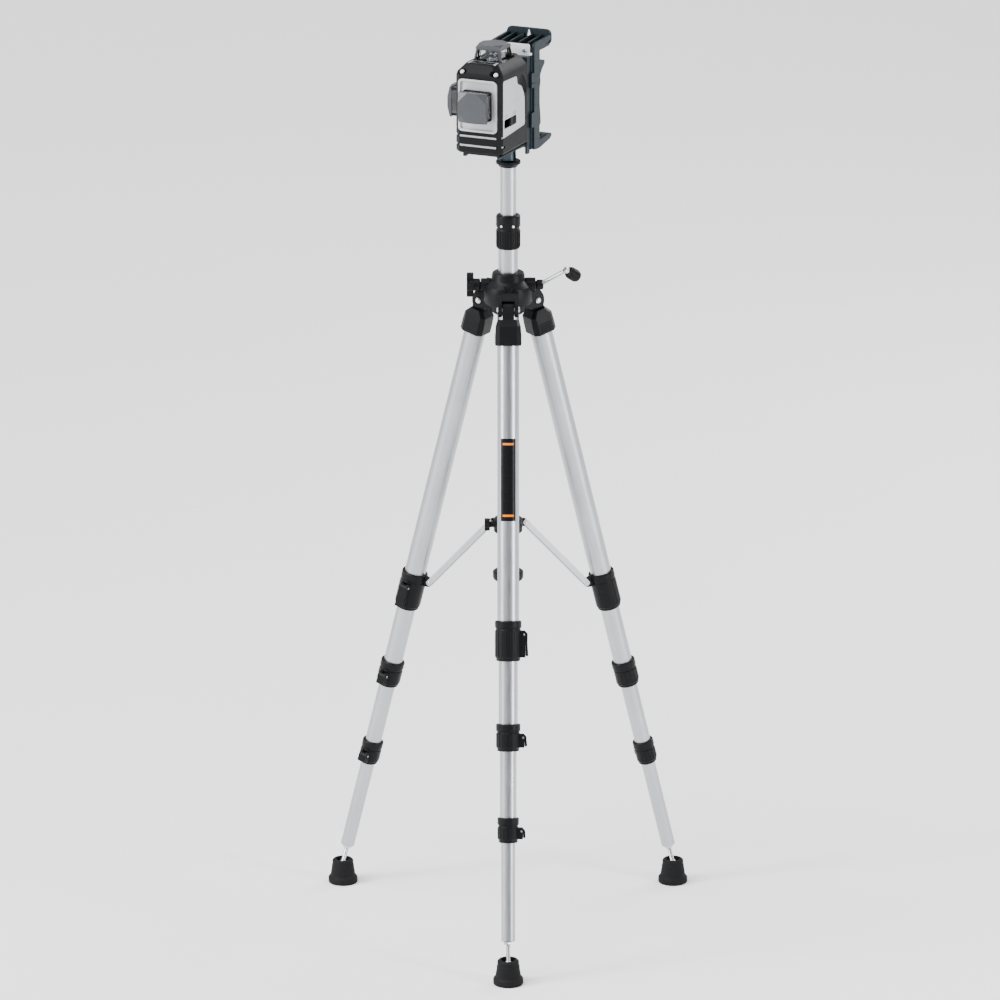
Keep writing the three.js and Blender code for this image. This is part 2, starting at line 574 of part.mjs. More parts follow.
const laserShell = () => {
  const { half_width, depth, height } = BODY;
  const cavity = block(
    [-half_width + CORE_MARGIN, CORE_MARGIN, CORE_MARGIN],
    [half_width - CORE_MARGIN, depth - CORE_MARGIN, height - 8],
  );
  const frontWindow = frontPlate(FRONT_PANEL, -1, CORE_MARGIN + 1);
  const rightWindow = sidePlate(SIDE_PANEL, half_width - CORE_MARGIN - 1, half_width + 1);
  const leftWindow = sidePlate(SIDE_PANEL, -half_width - 1, -half_width + CORE_MARGIN + 1);
  const turretWindow = block([-22.5, TURRET.y - 22.5, height - 10], [22.5, TURRET.y + 22.5, height + 1]);
  const batteryMouth = block([-24, 20, -1], [24, 76, CORE_MARGIN + 1]);
  return cut(bodyBlock(), cavity, frontWindow, rightWindow, leftWindow, turretWindow, batteryMouth);
};

const shrink = (outline, by) => {
  const mean = (axis) => outline.reduce((sum, point) => sum + point[axis], 0) / outline.length;
  const middle = [mean(0), mean(1)];
  return outline.map(([x, y]) => {
    const away = Math.hypot(x - middle[0], y - middle[1]);
    const scale = (away - by) / away;
    return [middle[0] + (x - middle[0]) * scale, middle[1] + (y - middle[1]) * scale];
  });
};

// the silver housing inside the shell, with its front and side panels filling the windows
const laserCore = () => {
  const { half_width, depth, height } = BODY;
  const rim = CORE_MARGIN + GAP;
  const box = block([-half_width + rim, rim, rim], [half_width - rim, depth - rim, height - 8 - GAP]);
  const front = frontPlate(shrink(FRONT_PANEL, 0.7), 1, rim + 1);
  const right = sidePlate(shrink(SIDE_PANEL, 0.7), half_width - rim - 1, half_width - 0.8);
  const left = sidePlate(shrink(SIDE_PANEL, 0.7), -half_width + 0.8, -half_width + rim + 1);
  const hollow = block([-26.5, 9, 22], [26.5, depth - 9, height - 12]);
  const port = 14;
  const frontPort = block([-port, -1, FRONT_HEAD_Z - port], [port, 12, FRONT_HEAD_Z + port]);
  const sidePort = block(
    [-half_width - 5, SIDE_HEAD.y - port, SIDE_HEAD.z - port],
    [-half_width + 11, SIDE_HEAD.y + port, SIDE_HEAD.z + port],
  );
  const turretPort = block([-port, TURRET.y - port, height - 20], [port, TURRET.y + port, height]);
  const cells = block([-23, 21, 0], [23, 75, 18]);
  const slot = SWITCH_SLOT;
  const switchSlot = block([half_width - 6, slot.from, slot.low], [half_width, slot.to, slot.high]);
  return cut(join(box, front, right, left), hollow, frontPort, sidePort, turretPort, cells, switchSlot);
};

// a square cap whose four front corners fall away in triangular facets
const facetedCap = (half, low, high) => {
  const leg = half * 2 / 3;
  const reach = 2 * half - leg;
  const spread = leg * (high - low) / FACET_DROP;
  const diamond = toSolid(turned([[0, low], [reach + spread, low], [reach, high], [0, high]], 4));
  return block([-half, -half, low], [half, half, high]).intersect(diamond);
};

// a window head standing on the XY plane: base ring, four posts and a faceted cap
const headFrame = (half, reach, cap) => {
  const ring = frustum(half, half, 0, 3);
  const crownCap = facetedCap(half, reach - cap, reach);
  const posts = frustum(half - 1.5, half - 1.5, 2, reach - cap + 1);
  const panes = [
    block([-half, -half + 5, 3], [half, half - 5, reach - cap]),
    block([-half + 5, -half, 3], [half - 5, half, reach - cap]),
  ];
  const inside = block([-half + 4.5, -half + 4.5, -1], [half - 4.5, half - 4.5, reach - cap]);
  return cut(join(ring, crownCap, posts), ...panes, inside);
};

const headGlass = (half, reach, cap) => {
  const edge = half - 4.9;
  const outer = block([-edge, -edge, 0.4], [edge, edge, reach - cap - 0.4]);
  return outer.subtract(block([-edge + 1.5, -edge + 1.5, 0], [edge - 1.5, edge - 1.5, reach]));
};

const turretFrame = () => {
  const { base_half, cap_half, height, cap } = TURRET;
  const ring = frustum(base_half, base_half, 0, 3);
  const taper = frustum(base_half - 1, cap_half - 1, 2, height + 1);
  const top = facetedCap(cap_half, height, height + cap);
  const post = 3.6;
  const low = base_half - post;
  const high = cap_half - post;
  const outline = [[-low, 4.5], [low, 4.5], [high, height - 1.5], [-high, height - 1.5]];
  const through = base_half + 1;
  const windows = [sidePlate(outline, -through, through), frontPlate(outline, -through, through)];
  const inside = frustum(base_half - 4.5, cap_half - 4, -1, height - 1);
  return cut(join(ring, taper, top), ...windows, inside);
};

const turretGlass = () => {
  const low = TURRET.base_half - 5.2;
  const high = TURRET.cap_half - 4.8;
  const outer = frustum(low, high, 0.4, TURRET.height - 2);
  return outer.subtract(frustum(low - 1.5, high - 1.5, 0, TURRET.height));
};

const powerSlider = () => {
  const { from, to } = SLIDER;
  const low = SWITCH_SLOT.low + 0.5;
  const high = SWITCH_SLOT.high - 0.5;
  const x = BODY.half_width;
  const body = block([x - 5.5, from, low], [x - 1.5, to, high]);
  const ribs = [0, 1, 2, 3].map((index) => {
    const start = from + 2 + index * 5.2;
    return block([x - 2, start, low], [x + 0.4, start + 3, high]);
  });
  return join(body, ...ribs);
};

const batteryDoor = () => block([-23.6, 20.4, 0.2], [23.6, 75.6, CORE_MARGIN - 0.6]);

// the self-levelling pendulum: a gimbal ring, an arm and its brass weight
const pendulum = () => {
  const arm = block([-5, 42, 44], [5, 52, 102]);
  const weight = rod(16, 28, 44, 16).translate([0, 47, 0]);
  const carrier = block([-14, 33, 60], [14, 61, 76]);
  return join(arm, weight, carrier);
};

const placeLaser = (head) => {
  const laser = new THREE.Group();
  laser.position.set(0, BODY_FRONT_IN_BRACKET, SHELF.top + GAP);
  head.add(laser);
  addPart(laser, 'laser_shell', laserShell(), BLACK_RUBBER);
  addPart(laser, 'laser_core', laserCore(), SILVER_PLASTIC);
  addPart(laser, 'power_slider', powerSlider(), BLACK_PLASTIC);
  addPart(laser, 'battery_door', batteryDoor(), BLACK_RUBBER);
  addPart(laser, 'pendulum', pendulum(), DARK_METAL);
  const turret = new THREE.Group();
  turret.position.set(0, TURRET.y, BODY.height - 8 + GAP);
  laser.add(turret);
  addPart(turret, 'top_head_frame', turretFrame(), BLACK_PLASTIC);
  addPart(turret, 'top_head_glass', turretGlass(), CLEAR_GLASS);
  const front = new THREE.Group();
  front.position.set(0, 1 - GAP, FRONT_HEAD_Z);
  front.rotation.x = Math.PI / 2;
  laser.add(front);
  addPart(front, 'front_head_frame', headFrame(HEAD.half, HEAD.reach, HEAD.cap), BLACK_PLASTIC);
  addPart(front, 'front_head_glass', headGlass(HEAD.half, HEAD.reach, HEAD.cap), CLEAR_GLASS);
  const side = new THREE.Group();
  side.position.set(-BODY.half_width + 0.8 - GAP, SIDE_HEAD.y, SIDE_HEAD.z);
  side.rotation.y = -Math.PI / 2;
  laser.add(side);
  addPart(side, 'side_head_frame', headFrame(HEAD.half, HEAD.reach, HEAD.cap), BLACK_PLASTIC);
  addPart(side, 'side_head_glass', headGlass(HEAD.half, HEAD.reach, HEAD.cap), CLEAR_GLASS);
};

// ---------------------------------------------------------------- assembly

const model = new THREE.Group();
const tripod = new THREE.Group();
tripod.position.set(AXIS_X, AXIS_Y, 0);
model.add(tripod);
Object.entries(LEG_TURNS).forEach(([letter, turn]) => placeLeg(tripod, letter, turn));
placeCentre(tripod);

// the bracket's knob sits over the tripod's axis, on the platform
const head = new THREE.Group();
head.position.set(0, -KNOB.y, PLATFORM.top - KNOB.bottom);
tripod.add(head);
placeBracket(head);
placeLaser(head);

export default model;
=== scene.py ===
import json
import math

import bmesh
import bpy
from mathutils import Matrix, Vector


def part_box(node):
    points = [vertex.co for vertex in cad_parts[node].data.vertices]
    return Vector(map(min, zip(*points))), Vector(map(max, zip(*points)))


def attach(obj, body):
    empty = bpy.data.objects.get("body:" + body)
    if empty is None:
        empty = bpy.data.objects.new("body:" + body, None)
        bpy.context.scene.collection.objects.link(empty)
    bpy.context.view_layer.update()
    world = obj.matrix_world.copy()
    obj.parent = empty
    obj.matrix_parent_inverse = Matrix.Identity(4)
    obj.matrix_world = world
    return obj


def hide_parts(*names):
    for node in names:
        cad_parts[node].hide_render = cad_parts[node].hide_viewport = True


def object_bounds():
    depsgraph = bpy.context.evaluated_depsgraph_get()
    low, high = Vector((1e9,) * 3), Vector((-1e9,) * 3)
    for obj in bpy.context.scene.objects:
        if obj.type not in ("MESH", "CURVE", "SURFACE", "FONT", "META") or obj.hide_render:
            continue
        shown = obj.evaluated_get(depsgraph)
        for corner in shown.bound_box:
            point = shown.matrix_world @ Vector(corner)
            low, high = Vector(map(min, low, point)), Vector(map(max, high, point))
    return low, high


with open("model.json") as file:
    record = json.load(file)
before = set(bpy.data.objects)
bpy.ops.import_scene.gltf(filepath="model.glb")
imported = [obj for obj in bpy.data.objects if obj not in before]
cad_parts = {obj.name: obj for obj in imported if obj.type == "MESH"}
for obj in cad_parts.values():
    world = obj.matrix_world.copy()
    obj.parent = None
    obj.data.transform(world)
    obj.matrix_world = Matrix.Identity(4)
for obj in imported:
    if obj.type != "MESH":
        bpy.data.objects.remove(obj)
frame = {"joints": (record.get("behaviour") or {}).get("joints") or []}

CAD_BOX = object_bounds()
MM = 0.001
JOINTS = {joint["name"]: joint for joint in frame["joints"]}
LEGS = "abc"
SIDES = (-1, 1)
PLUS_X, MINUS_X, PLUS_Y, MINUS_Y = (1, 0, 0), (-1, 0, 0), (0, 1, 0), (0, -1, 0)
MERGE_DISTANCE = 1e-5
CUT_MERGE_DISTANCE = 1e-4
FLAT_ANGLE = 0.01
BEVEL_ANGLE = math.radians(28)
FLOOR_GAP = 0.0004

# ---- sizes in millimetres, as in the CAD model

TUBES = [
    {"from": 24, "to": 452, "outer": 15, "inner": 13.9},
    {"from": 212, "to": 592, "outer": 13.25, "inner": 12.15},
    {"from": 362, "to": 720, "outer": 11.5, "inner": 10.4},
    {"from": 532, "to": 875, "outer": 9.75, "inner": 8.7},
]
LOCKS = [
    {"from": 430, "to": 486, "outer": 18.5},
    {"from": 573, "to": 611, "outer": 17},
    {"from": 703, "to": 738, "outer": 15},
]
CLEVIS_HALF = 14
FOOT_BALL = 906
BRACE_LUG_ALONG = 436
BRACE_LUG_INWARD = 27

GUIDE = {"bottom": 503, "top": 946, "outer": 15, "inner": 14}
COLUMN = {"bottom": 640, "top": 1000, "outer": 13.5, "inner": 12.3}
EXTENSION = {"bottom": 848, "top": 1098, "outer": 11, "inner": 9.8}
CROWN_BOSS_Z = 929
CRANK_KNEE = 44
CRANK_ARM = 50
CRANK_LEAN = math.radians(46)

STUD_Y = -14
MAGNET_X = 7
MAGNET_Z = (47, 88)
RAIL_HALF = 33
RAIL_TOP = 132
EAR_X = 23.5
UPPER_CLIP_Z = 89
LOWER_CLIP_Z = 33
STRIP_SCREW_X = 19
STRIP_SCREW_Z = 141
LEVER_PIN_Y = 23.8
LEVER_PIN_Z = 90.5
TICK_STEP = 10

FACET_DROP = 3.5
FRONT_HEAD_Z = 68
SIDE_HEAD_Y = 42
SIDE_HEAD_Z = 64
TURRET_Y = 53.5
STRIPE_Z = (10.5, 23.5)
STRIPE_HALF = 1.6
SHELL_HALF = 35
PANEL_DEPTH = 0.7
SHELL_DEPTH = 94
SHELL_HEIGHT = 124
HEAD_HALF = 21
HEAD_REACH = 20

# ---- frames


def axes(origin, x, y, z):
    """The matrix that puts a local frame with these axes at origin, in metres."""
    turn = Matrix((x, y, z)).transposed().to_4x4()
    return Matrix.Translation(origin) @ turn


def leg_frame(letter):
    """Origin at the leg's pivot, +Z up along the leg, +X outwards."""
    fold = JOINTS[f"leg_{letter}_fold"]
    up = -Vector(JOINTS[f"leg_{letter}_extend_1"]["axis"])
    side = Vector(fold["axis"])
    return axes(Vector(fold["pos_m"]), side.cross(up), side, up)


def brace_frame(letter):
    """Origin at the brace's hub pivot, -Z down along the strut."""
    swing = JOINTS[f"leg_{letter}_brace_swing"]
    side = Vector(swing["axis"])
    origin = Vector(swing["pos_m"])
    up = origin - lug_point(letter)
    up.normalize()
    return axes(origin, side.cross(up), side, up)


def lug_point(letter):
    leg = leg_frame(letter)
    return leg @ Vector((-BRACE_LUG_INWARD * MM, 0, -BRACE_LUG_ALONG * MM))


AXIS = Vector(JOINTS["collar_twist"]["pos_m"])
CRANK_AXIS = Vector(JOINTS["crank_turn"]["axis"])
UP = Vector((0, 0, 1))
CENTRE = axes(Vector((AXIS.x, AXIS.y, 0)), CRANK_AXIS, UP.cross(CRANK_AXIS), UP)
RAIL_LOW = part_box("rail_body")[0]
RAIL_TONGUE = 5.3 * MM
RAIL_TOE = 1 * MM
HEAD = Matrix.Translation((AXIS.x, RAIL_LOW.y + RAIL_TONGUE, RAIL_LOW.z + RAIL_TOE))
SHELL_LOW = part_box("laser_shell")[0]
LASER = Matrix.Translation((AXIS.x, SHELL_LOW.y, SHELL_LOW.z))
PLATFORM_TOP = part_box("platform")[1].z / MM - 10


def crank_frame():
    """Origin on the column axis, +X out along the shaft, +Z the way the arm points."""
    grip = Vector(JOINTS["crank_grip_spin"]["pos_m"])
    origin = Vector(JOINTS["crank_turn"]["pos_m"])
    radial = grip - origin
    radial -= CRANK_AXIS * radial.dot(CRANK_AXIS)
    radial.normalize()
    return axes(origin, CRANK_AXIS, radial.cross(CRANK_AXIS), radial)


def shift(x, y, z):
    """A move in millimetres."""
    return Matrix.Translation(Vector((x, y, z)) * MM)


def towards(direction, at=(0, 0, 0)):
    """A local frame whose +Z points along direction, at a place in millimetres."""
    turn = Vector(direction).to_track_quat("Z", "Y").to_matrix().to_4x4()
    return Matrix.Translation(Vector(at) * MM) @ turn


# ---- mesh makers, in millimetres


def loft(loops, closed=False):
    """A solid through loops of [x, y, z] points: closed onto its first loop, or with flat ends."""
    bm = bmesh.new()
    rows = [[bm.verts.new(point) for point in loop] for loop in loops]
    pairs = list(zip(rows, rows[1:]))
    if closed:
        pairs.append((rows[-1], rows[0]))
    count = len(rows[0])
    for low, high in pairs:
        for i in range(count):
            j = (i + 1) % count
            bm.faces.new((low[i], low[j], high[j], high[i]))
    if not closed:
        bm.faces.new(list(reversed(rows[0])))
        bm.faces.new(rows[-1])
    bmesh.ops.remove_doubles(bm, verts=bm.verts, dist=MERGE_DISTANCE)
    bmesh.ops.recalc_face_normals(bm, faces=bm.faces)
    return bm


def circle(radius, height, segments):
    """Points round Z at a height."""
    turns = [2 * math.pi * i / segments for i in range(segments)]
    return [(radius * math.cos(t), radius * math.sin(t), height) for t in turns]


def lathe(outline, segments=64):
    """A turned solid about Z. An outline off the axis closes on itself, any other gets flat ends."""
    hollow = all(radius > 0 for radius, _ in outline)
    return loft([circle(radius, height, segments) for radius, height in outline if radius > 0], hollow)


def box(low, high):
    bm = bmesh.new()
    bmesh.ops.create_cube(bm, size=1)
    middle = [(a + b) / 2 for a, b in zip(low, high)]
    size = [b - a for a, b in zip(low, high)]
    bmesh.ops.scale(bm, vec=size, verts=bm.verts)
    bmesh.ops.translate(bm, vec=middle, verts=bm.verts)
    return bm


def prism(outline, start, end, along="z"):
    """A flat outline pushed from start to end along an axis: [x, y] for z, [y, z] for x, [x, z] for y."""
    place = {
        "z": lambda a, b, depth: (a, b, depth),
        "x": lambda a, b, depth: (depth, a, b),
        "y": lambda a, b, depth: (a, depth, b),
    }[along]
    return loft([[place(a, b, depth) for a, b in outline] for depth in (start, end)])


def slab(outline, middle, half, along="x"):
    """A flat outline with half its thickness on each side of middle."""
    return prism(outline, middle - half, middle + half, along)


def box_pair(x, half, low, high):
    """Two mirrored boxes at x and -x, between two [y, z] corners."""
    return [box((side * x - half, *low), (side * x + half, *high)) for side in SIDES]


def ball(radius, scale=(1, 1, 1), across=32, rows=20):
    """A sphere, or an ellipsoid when scaled."""
    bm = bmesh.new()
    bmesh.ops.create_uvsphere(bm, u_segments=across, v_segments=rows, radius=radius)
    bmesh.ops.scale(bm, vec=scale, verts=bm.verts)
    return bm


def rounded_outline(half_x, half_y, radius, steps=6, middle=(0, 0)):
    """A rectangle with round corners, as a list of points."""
    points = []
    for turn, (sx, sy) in enumerate(((1, 1), (-1, 1), (-1, -1), (1, -1))):
        for step in range(steps + 1):
            angle = math.pi / 2 * (turn + step / steps)
            x = middle[0] + sx * (half_x - radius) + radius * math.cos(angle)
            y = middle[1] + sy * (half_y - radius) + radius * math.sin(angle)
            points.append((x, y))
    return points


def softened(outline, radius, steps=5):
    """The same outline with every corner rounded by a short curve."""
    points = []
    count = len(outline)
    for i, corner in enumerate(outline):
        before = Vector(outline[i - 1])
        after = Vector(outline[(i + 1) % count])
        here = Vector(corner)
        reach = min(radius, (before - here).length / 2.1, (after - here).length / 2.1)
        start = here + (before - here).normalized() * reach
        end = here + (after - here).normalized() * reach
        for step in range(steps + 1):
            t = step / steps
            points.append(tuple(start * (1 - t) ** 2 + here * 2 * t * (1 - t) + end * t ** 2))
    return points


def merged(*parts):
    """Several bmeshes as one, without joining their surfaces."""
    whole = bmesh.new()
    for part in parts:
        mesh = bpy.data.meshes.new("part")
        part.to_mesh(mesh)
        whole.from_mesh(mesh)
        bpy.data.meshes.remove(mesh)
        part.free()
    return whole


def turned(bm, matrix):
    """The same bmesh moved by a matrix whose translation is in metres."""
    scaled = matrix.copy()
    scaled.translation = matrix.translation / MM
    bmesh.ops.transform(bm, matrix=scaled, verts=bm.verts)
    return bm


def aimed(bm, direction, at=(0, 0, 0)):
    """The same bmesh with its +Z along direction, moved to a place in millimetres."""
    return turned(bm, towards(direction, at))


def spun(bm, degrees):
    return turned(bm, Matrix.Rotation(math.radians(degrees), 4, "Z"))


def spokes(low, high, turns):
    """One box per turn, in degrees about Z."""
    return [spun(box(low, high), turn) for turn in turns]


def rod(radius, start, end, segments=32, edge=0.0):
    """A round bar along Z with chamfered ends."""
    if edge <= 0:
        return lathe([(0, start), (radius, start), (radius, end), (0, end)], segments)
    return lathe([
        (0, start), (radius - edge, start), (radius, start + edge),
        (radius, end - edge), (radius - edge, end), (0, end),
    ], segments)


def tube(outer, inner, start, end, segments=64, edge=0.3):
    return lathe([
        (inner, start), (outer - edge, start), (outer, start + edge),
        (outer, end - edge), (outer - edge, end), (inner, end),
    ], segments)


def bar_between(start, end, radius, segments=24):
    """A round bar between two points."""
    a, b = Vector(start), Vector(end)
    bm = rod(radius, 0, (b - a).length, segments)
    return aimed(bm, b - a, a)


# ---- objects


def in_scene(name, data):
    thing = bpy.data.objects.new(name, data)
    bpy.context.scene.collection.objects.link(thing)
    return thing


def as_object(name, bm):
    mesh = bpy.data.meshes.new(name)
    bm.to_mesh(mesh)
    bm.free()
    mesh.transform(Matrix.Scale(MM, 4))
    return in_scene(name, mesh)


def carve(bm, cutters):
    """Cuts closed bmeshes out of another with the exact boolean."""
    thing = as_object("carved", bm)
    tools = [as_object("cutter", cutter) for cutter in cutters]
    for tool in tools:
        step = thing.modifiers.new("cut", "BOOLEAN")
        step.operation = "DIFFERENCE"
        step.solver = "EXACT"
        step.object = tool
    bpy.context.view_layer.update()
    graph = bpy.context.evaluated_depsgraph_get()
    mesh = bpy.data.meshes.new_from_object(thing.evaluated_get(graph))
    result = bmesh.new()
    result.from_mesh(mesh)
    bmesh.ops.scale(result, vec=(1 / MM,) * 3, verts=result.verts)
    bmesh.ops.remove_doubles(result, verts=result.verts, dist=CUT_MERGE_DISTANCE)
    bmesh.ops.dissolve_limit(result, angle_limit=FLAT_ANGLE, verts=result.verts, edges=result.edges)
    bpy.data.meshes.remove(mesh)
    for used in [thing, *tools]:
        bpy.data.objects.remove(used)
    return result


def piece(name, bm, place, paint, body, node=None, edge=0.0, steps=2, smooth=35):
    """A finished visible piece: placed, bevelled, smoothed, painted, and riding on a body."""
    thing = as_object(name, bm)
    thing.matrix_world = place
    mesh = thing.data
    mesh.polygons.foreach_set("use_smooth", [True] * len(mesh.polygons))
    mesh.set_sharp_from_angle(angle=math.radians(smooth))
    mesh.materials.append(MATERIALS[paint])
    if edge > 0:
        bevel = thing.modifiers.new("edges", "BEVEL")
        bevel.width = edge * MM
        bevel.segments = steps
        bevel.limit_method = "ANGLE"
        bevel.angle_limit = BEVEL_ANGLE
        bevel.harden_normals = True
        bevel.use_clamp_overlap = True
    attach(thing, body)
    if node:
        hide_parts(node)


# ---- materials


SPECULAR = 0.1  # low, because a fine grain scatters most of a moulded surface's sheen


class Paint:
    """A principled material with object coordinates and small helpers for its nodes."""

    def __init__(self, name, color, roughness, metallic=0.0):
        self.material = bpy.data.materials.new(name)
        self.material.use_nodes = True
        self.tree = self.material.node_tree
        self.shader = self.tree.nodes["Principled BSDF"]
        self.color = color
        self.roughness = roughness
        self.shader.inputs["Base Color"].default_value = (*color, 1)
        self.shader.inputs["Roughness"].default_value = roughness
        self.shader.inputs["Metallic"].default_value = metallic
        self.shader.inputs["Specular IOR Level"].default_value = SPECULAR
        self.place = self.node("ShaderNodeTexCoord").outputs["Object"]
        self.height = None

    def node(self, kind):
        return self.tree.nodes.new(kind)

    def link(self, source, target):
        self.tree.links.new(source, target)

    def noise(self, scale, detail=3.0, stretch=(1, 1, 1)):
        """Noise with about scale features to the metre."""
        mapping = self.node("ShaderNodeMapping")
        mapping.inputs["Scale"].default_value = stretch
        self.link(self.place, mapping.inputs["Vector"])
        noise = self.node("ShaderNodeTexNoise")
        noise.inputs["Scale"].default_value = scale
        noise.inputs["Detail"].default_value = detail
        self.link(mapping.outputs["Vector"], noise.inputs["Vector"])
        return noise.outputs["Fac"]

    def ranged(self, source, low, high, start=0.3, end=0.7):
        span = self.node("ShaderNodeMapRange")
        span.inputs["From Min"].default_value = start
        span.inputs["From Max"].default_value = end
        span.inputs["To Min"].default_value = low
        span.inputs["To Max"].default_value = high
        self.link(source, span.inputs["Value"])
        return span.outputs["Result"]

    def vary_roughness(self, amount, *noise):
        result = self.ranged(self.noise(*noise), self.roughness - amount, self.roughness + amount)
        self.link(result, self.shader.inputs["Roughness"])

    def mottle(self, factor, scale, detail=3.0, start=0.35, end=0.65):
        """Blends towards a lighter or darker base colour in patches of noise."""
        self.vary_color(self.noise(scale, detail), lighter(self.color, factor), start, end)

    def vary_color(self, source, other, start, end):
        """Blends the base colour towards another where the source is high."""
        blend = self.node("ShaderNodeMix")
        blend.data_type = "RGBA"
        current = self.shader.inputs["Base Color"]
        if current.is_linked:
            self.link(current.links[0].from_socket, blend.inputs["A"])
        else:
            blend.inputs["A"].default_value = (*self.color, 1)
        blend.inputs["B"].default_value = (*other, 1)
        self.link(self.ranged(source, 0, 1, start, end), blend.inputs["Factor"])
        self.link(blend.outputs["Result"], current)

    def bump(self, source, distance):
        """Adds a bump of this height in millimetres over the ones before it."""
        bump = self.node("ShaderNodeBump")
        bump.inputs["Distance"].default_value = distance * MM
        bump.inputs["Strength"].default_value = 1
        self.link(source, bump.inputs["Height"])
        if self.height:
            self.link(self.height, bump.inputs["Normal"])
        self.height = bump.outputs["Normal"]
        self.link(self.height, self.shader.inputs["Normal"])

    def scuffs(self, factor):
        """A few fine light scratches, each long one way and thin the other."""
        color = lighter(self.color, factor)
        self.vary_color(self.noise(1, 2, (40, 900, 900)), color, 0.7, 0.78)
        self.vary_color(self.noise(1, 2, (900, 1100, 60)), color, 0.71, 0.79)


def lighter(color, factor):
    return tuple(min(1.0, channel * factor) for channel in color)


def moulded_plastic(name, color, roughness, grain=0.05, grain_scale=1600):
    """Injection-moulded plastic: spark-eroded grain, faint mottling and a few fine scratches."""
    paint = Paint(name, color, roughness)
    paint.mottle(1.3, 1400, 4, 0.4, 0.7)
    paint.mottle(1.05, 25)
    paint.scuffs(1.5)
    paint.vary_roughness(0.04, 600)
    paint.bump(paint.noise(grain_scale, 5), grain)
    return paint.material


def soft_rubber(name, color, roughness):
    """Soft-touch rubber: fine leathery grain, faint mottling and a few fine scratches."""
    paint = Paint(name, color, roughness)
    paint.mottle(1.35, 1100, 4, 0.4, 0.7)
    paint.mottle(1.05, 22)
    paint.scuffs(1.6)
    paint.vary_roughness(0.03, 500)
    cells = paint.node("ShaderNodeTexVoronoi")
    cells.inputs["Scale"].default_value = 2200
    paint.link(paint.place, cells.inputs["Vector"])
    paint.bump(cells.outputs["Distance"], 0.03)
    paint.bump(paint.noise(900, 4), 0.04)
    return paint.material


def anodised_aluminium(name):
    """Drawn and anodised tube: fine streaks along local Z, handling marks and scratches round it."""
    color = (0.44, 0.45, 0.475)
    paint = Paint(name, color, 0.36, 1.0)
    streaks = paint.noise(1, 4, (1500, 1500, 14))
    paint.mottle(0.93, 14)
    paint.vary_roughness(0.04, 1, 3, (320, 320, 40))
    paint.bump(streaks, 0.0015)
    scratches = paint.noise(1, 2, (60, 60, 2600))
    paint.bump(paint.ranged(scratches, 0, 1, 0.66, 0.74), 0.004)
    return paint.material


def painted_silver(name, color=(0.68, 0.69, 0.71)):
    """Silver-lacquered plastic with metal flake and an orange-peel surface."""
    paint = Paint(name, color, 0.42, 0.35)
    paint.mottle(1.14, 4200, 2, 0.45, 0.6)
    paint.mottle(0.95, 20)
    paint.vary_roughness(0.05, 350)
    paint.bump(paint.noise(420, 3), 0.012)
    return paint.material


def machined_steel(name, color=(0.62, 0.63, 0.64), roughness=0.3):
    paint = Paint(name, color, roughness, 1.0)
    paint.mottle(0.8, 300)
    paint.vary_roughness(0.09, 700, 4)
    paint.bump(paint.noise(1, 3, (300, 300, 3000)), 0.008)
    return paint.material


def clear_glass(name):
    paint = Paint(name, (0.93, 0.96, 0.97), 0.03)
    paint.shader.inputs["Transmission Weight"].default_value = 1.0
    paint.shader.inputs["IOR"].default_value = 1.5
    paint.vary_roughness(0.02, 160)
    return paint.material


def satin_cap(name):
    """The dark satin lacquer of the window heads' caps, with a fine metallic grain."""
    color = (0.064, 0.067, 0.073)
    paint = Paint(name, color, 0.32, 0.4)
    paint.mottle(1.3, 2600, 3, 0.42, 0.66)
    paint.mottle(1.04, 30)
    paint.scuffs(1.4)
    paint.vary_roughness(0.03, 500)
    paint.bump(paint.noise(1500, 4), 0.025)
    return paint.material


def cast_metal(name, color):
    """Sand-blasted grey metal of the turret frame."""
    paint = Paint(name, color, 0.42, 0.85)
    paint.mottle(0.85, 90)
    paint.vary_roughness(0.1, 500)
    paint.bump(paint.noise(2400, 4), 0.03)
    return paint.material


MATERIALS = {
    "aluminium": anodised_aluminium("anodised_aluminium"),
    "tripod": moulded_plastic("tripod_plastic", (0.005, 0.0051, 0.0058), 0.4),
    "foot": soft_rubber("foot_rubber", (0.007, 0.007, 0.0076), 0.7),
    "shell": soft_rubber("shell_rubber", (0.0042, 0.0047, 0.0056), 0.5),
    "silver": painted_silver("silver_lacquer", (0.46, 0.465, 0.48)),
    "white": painted_silver("strip_lacquer", (0.72, 0.73, 0.74)),
    "bracket": moulded_plastic("bracket_plastic", (0.0125, 0.0192, 0.0238), 0.42, 0.07, 1300),
    # bracket_dark is near-black plastic; on the rail's scale ticks it is painted shade standing in for the
    # engraved grooves, and the magnets use it too.
    "bracket_dark": moulded_plastic("bracket_marks", (0.003, 0.004, 0.005), 0.6),
    "steel": machined_steel("plated_steel"),
    "knob": machined_steel("blackened_steel", (0.06, 0.08, 0.095), 0.34),
    "brass": machined_steel("turned_brass", (0.68, 0.5, 0.22), 0.32),
    "glass": clear_glass("window_glass"),
    "cap": satin_cap("head_cap"),
    "window_frame": moulded_plastic("window_frame_plastic", (0.008, 0.0085, 0.0095), 0.34, 0.02),
    "frame": cast_metal("head_frame_metal", (0.06, 0.063, 0.067)),
    "switch": moulded_plastic("switch_plastic", (0.006, 0.006, 0.007), 0.36),
    "label": moulded_plastic("label_film", (0.005, 0.005, 0.006), 0.28, 0.01),
    "orange": moulded_plastic("orange_print", (0.6, 0.17, 0.012), 0.4, 0.01),
}

# ---- small hardware


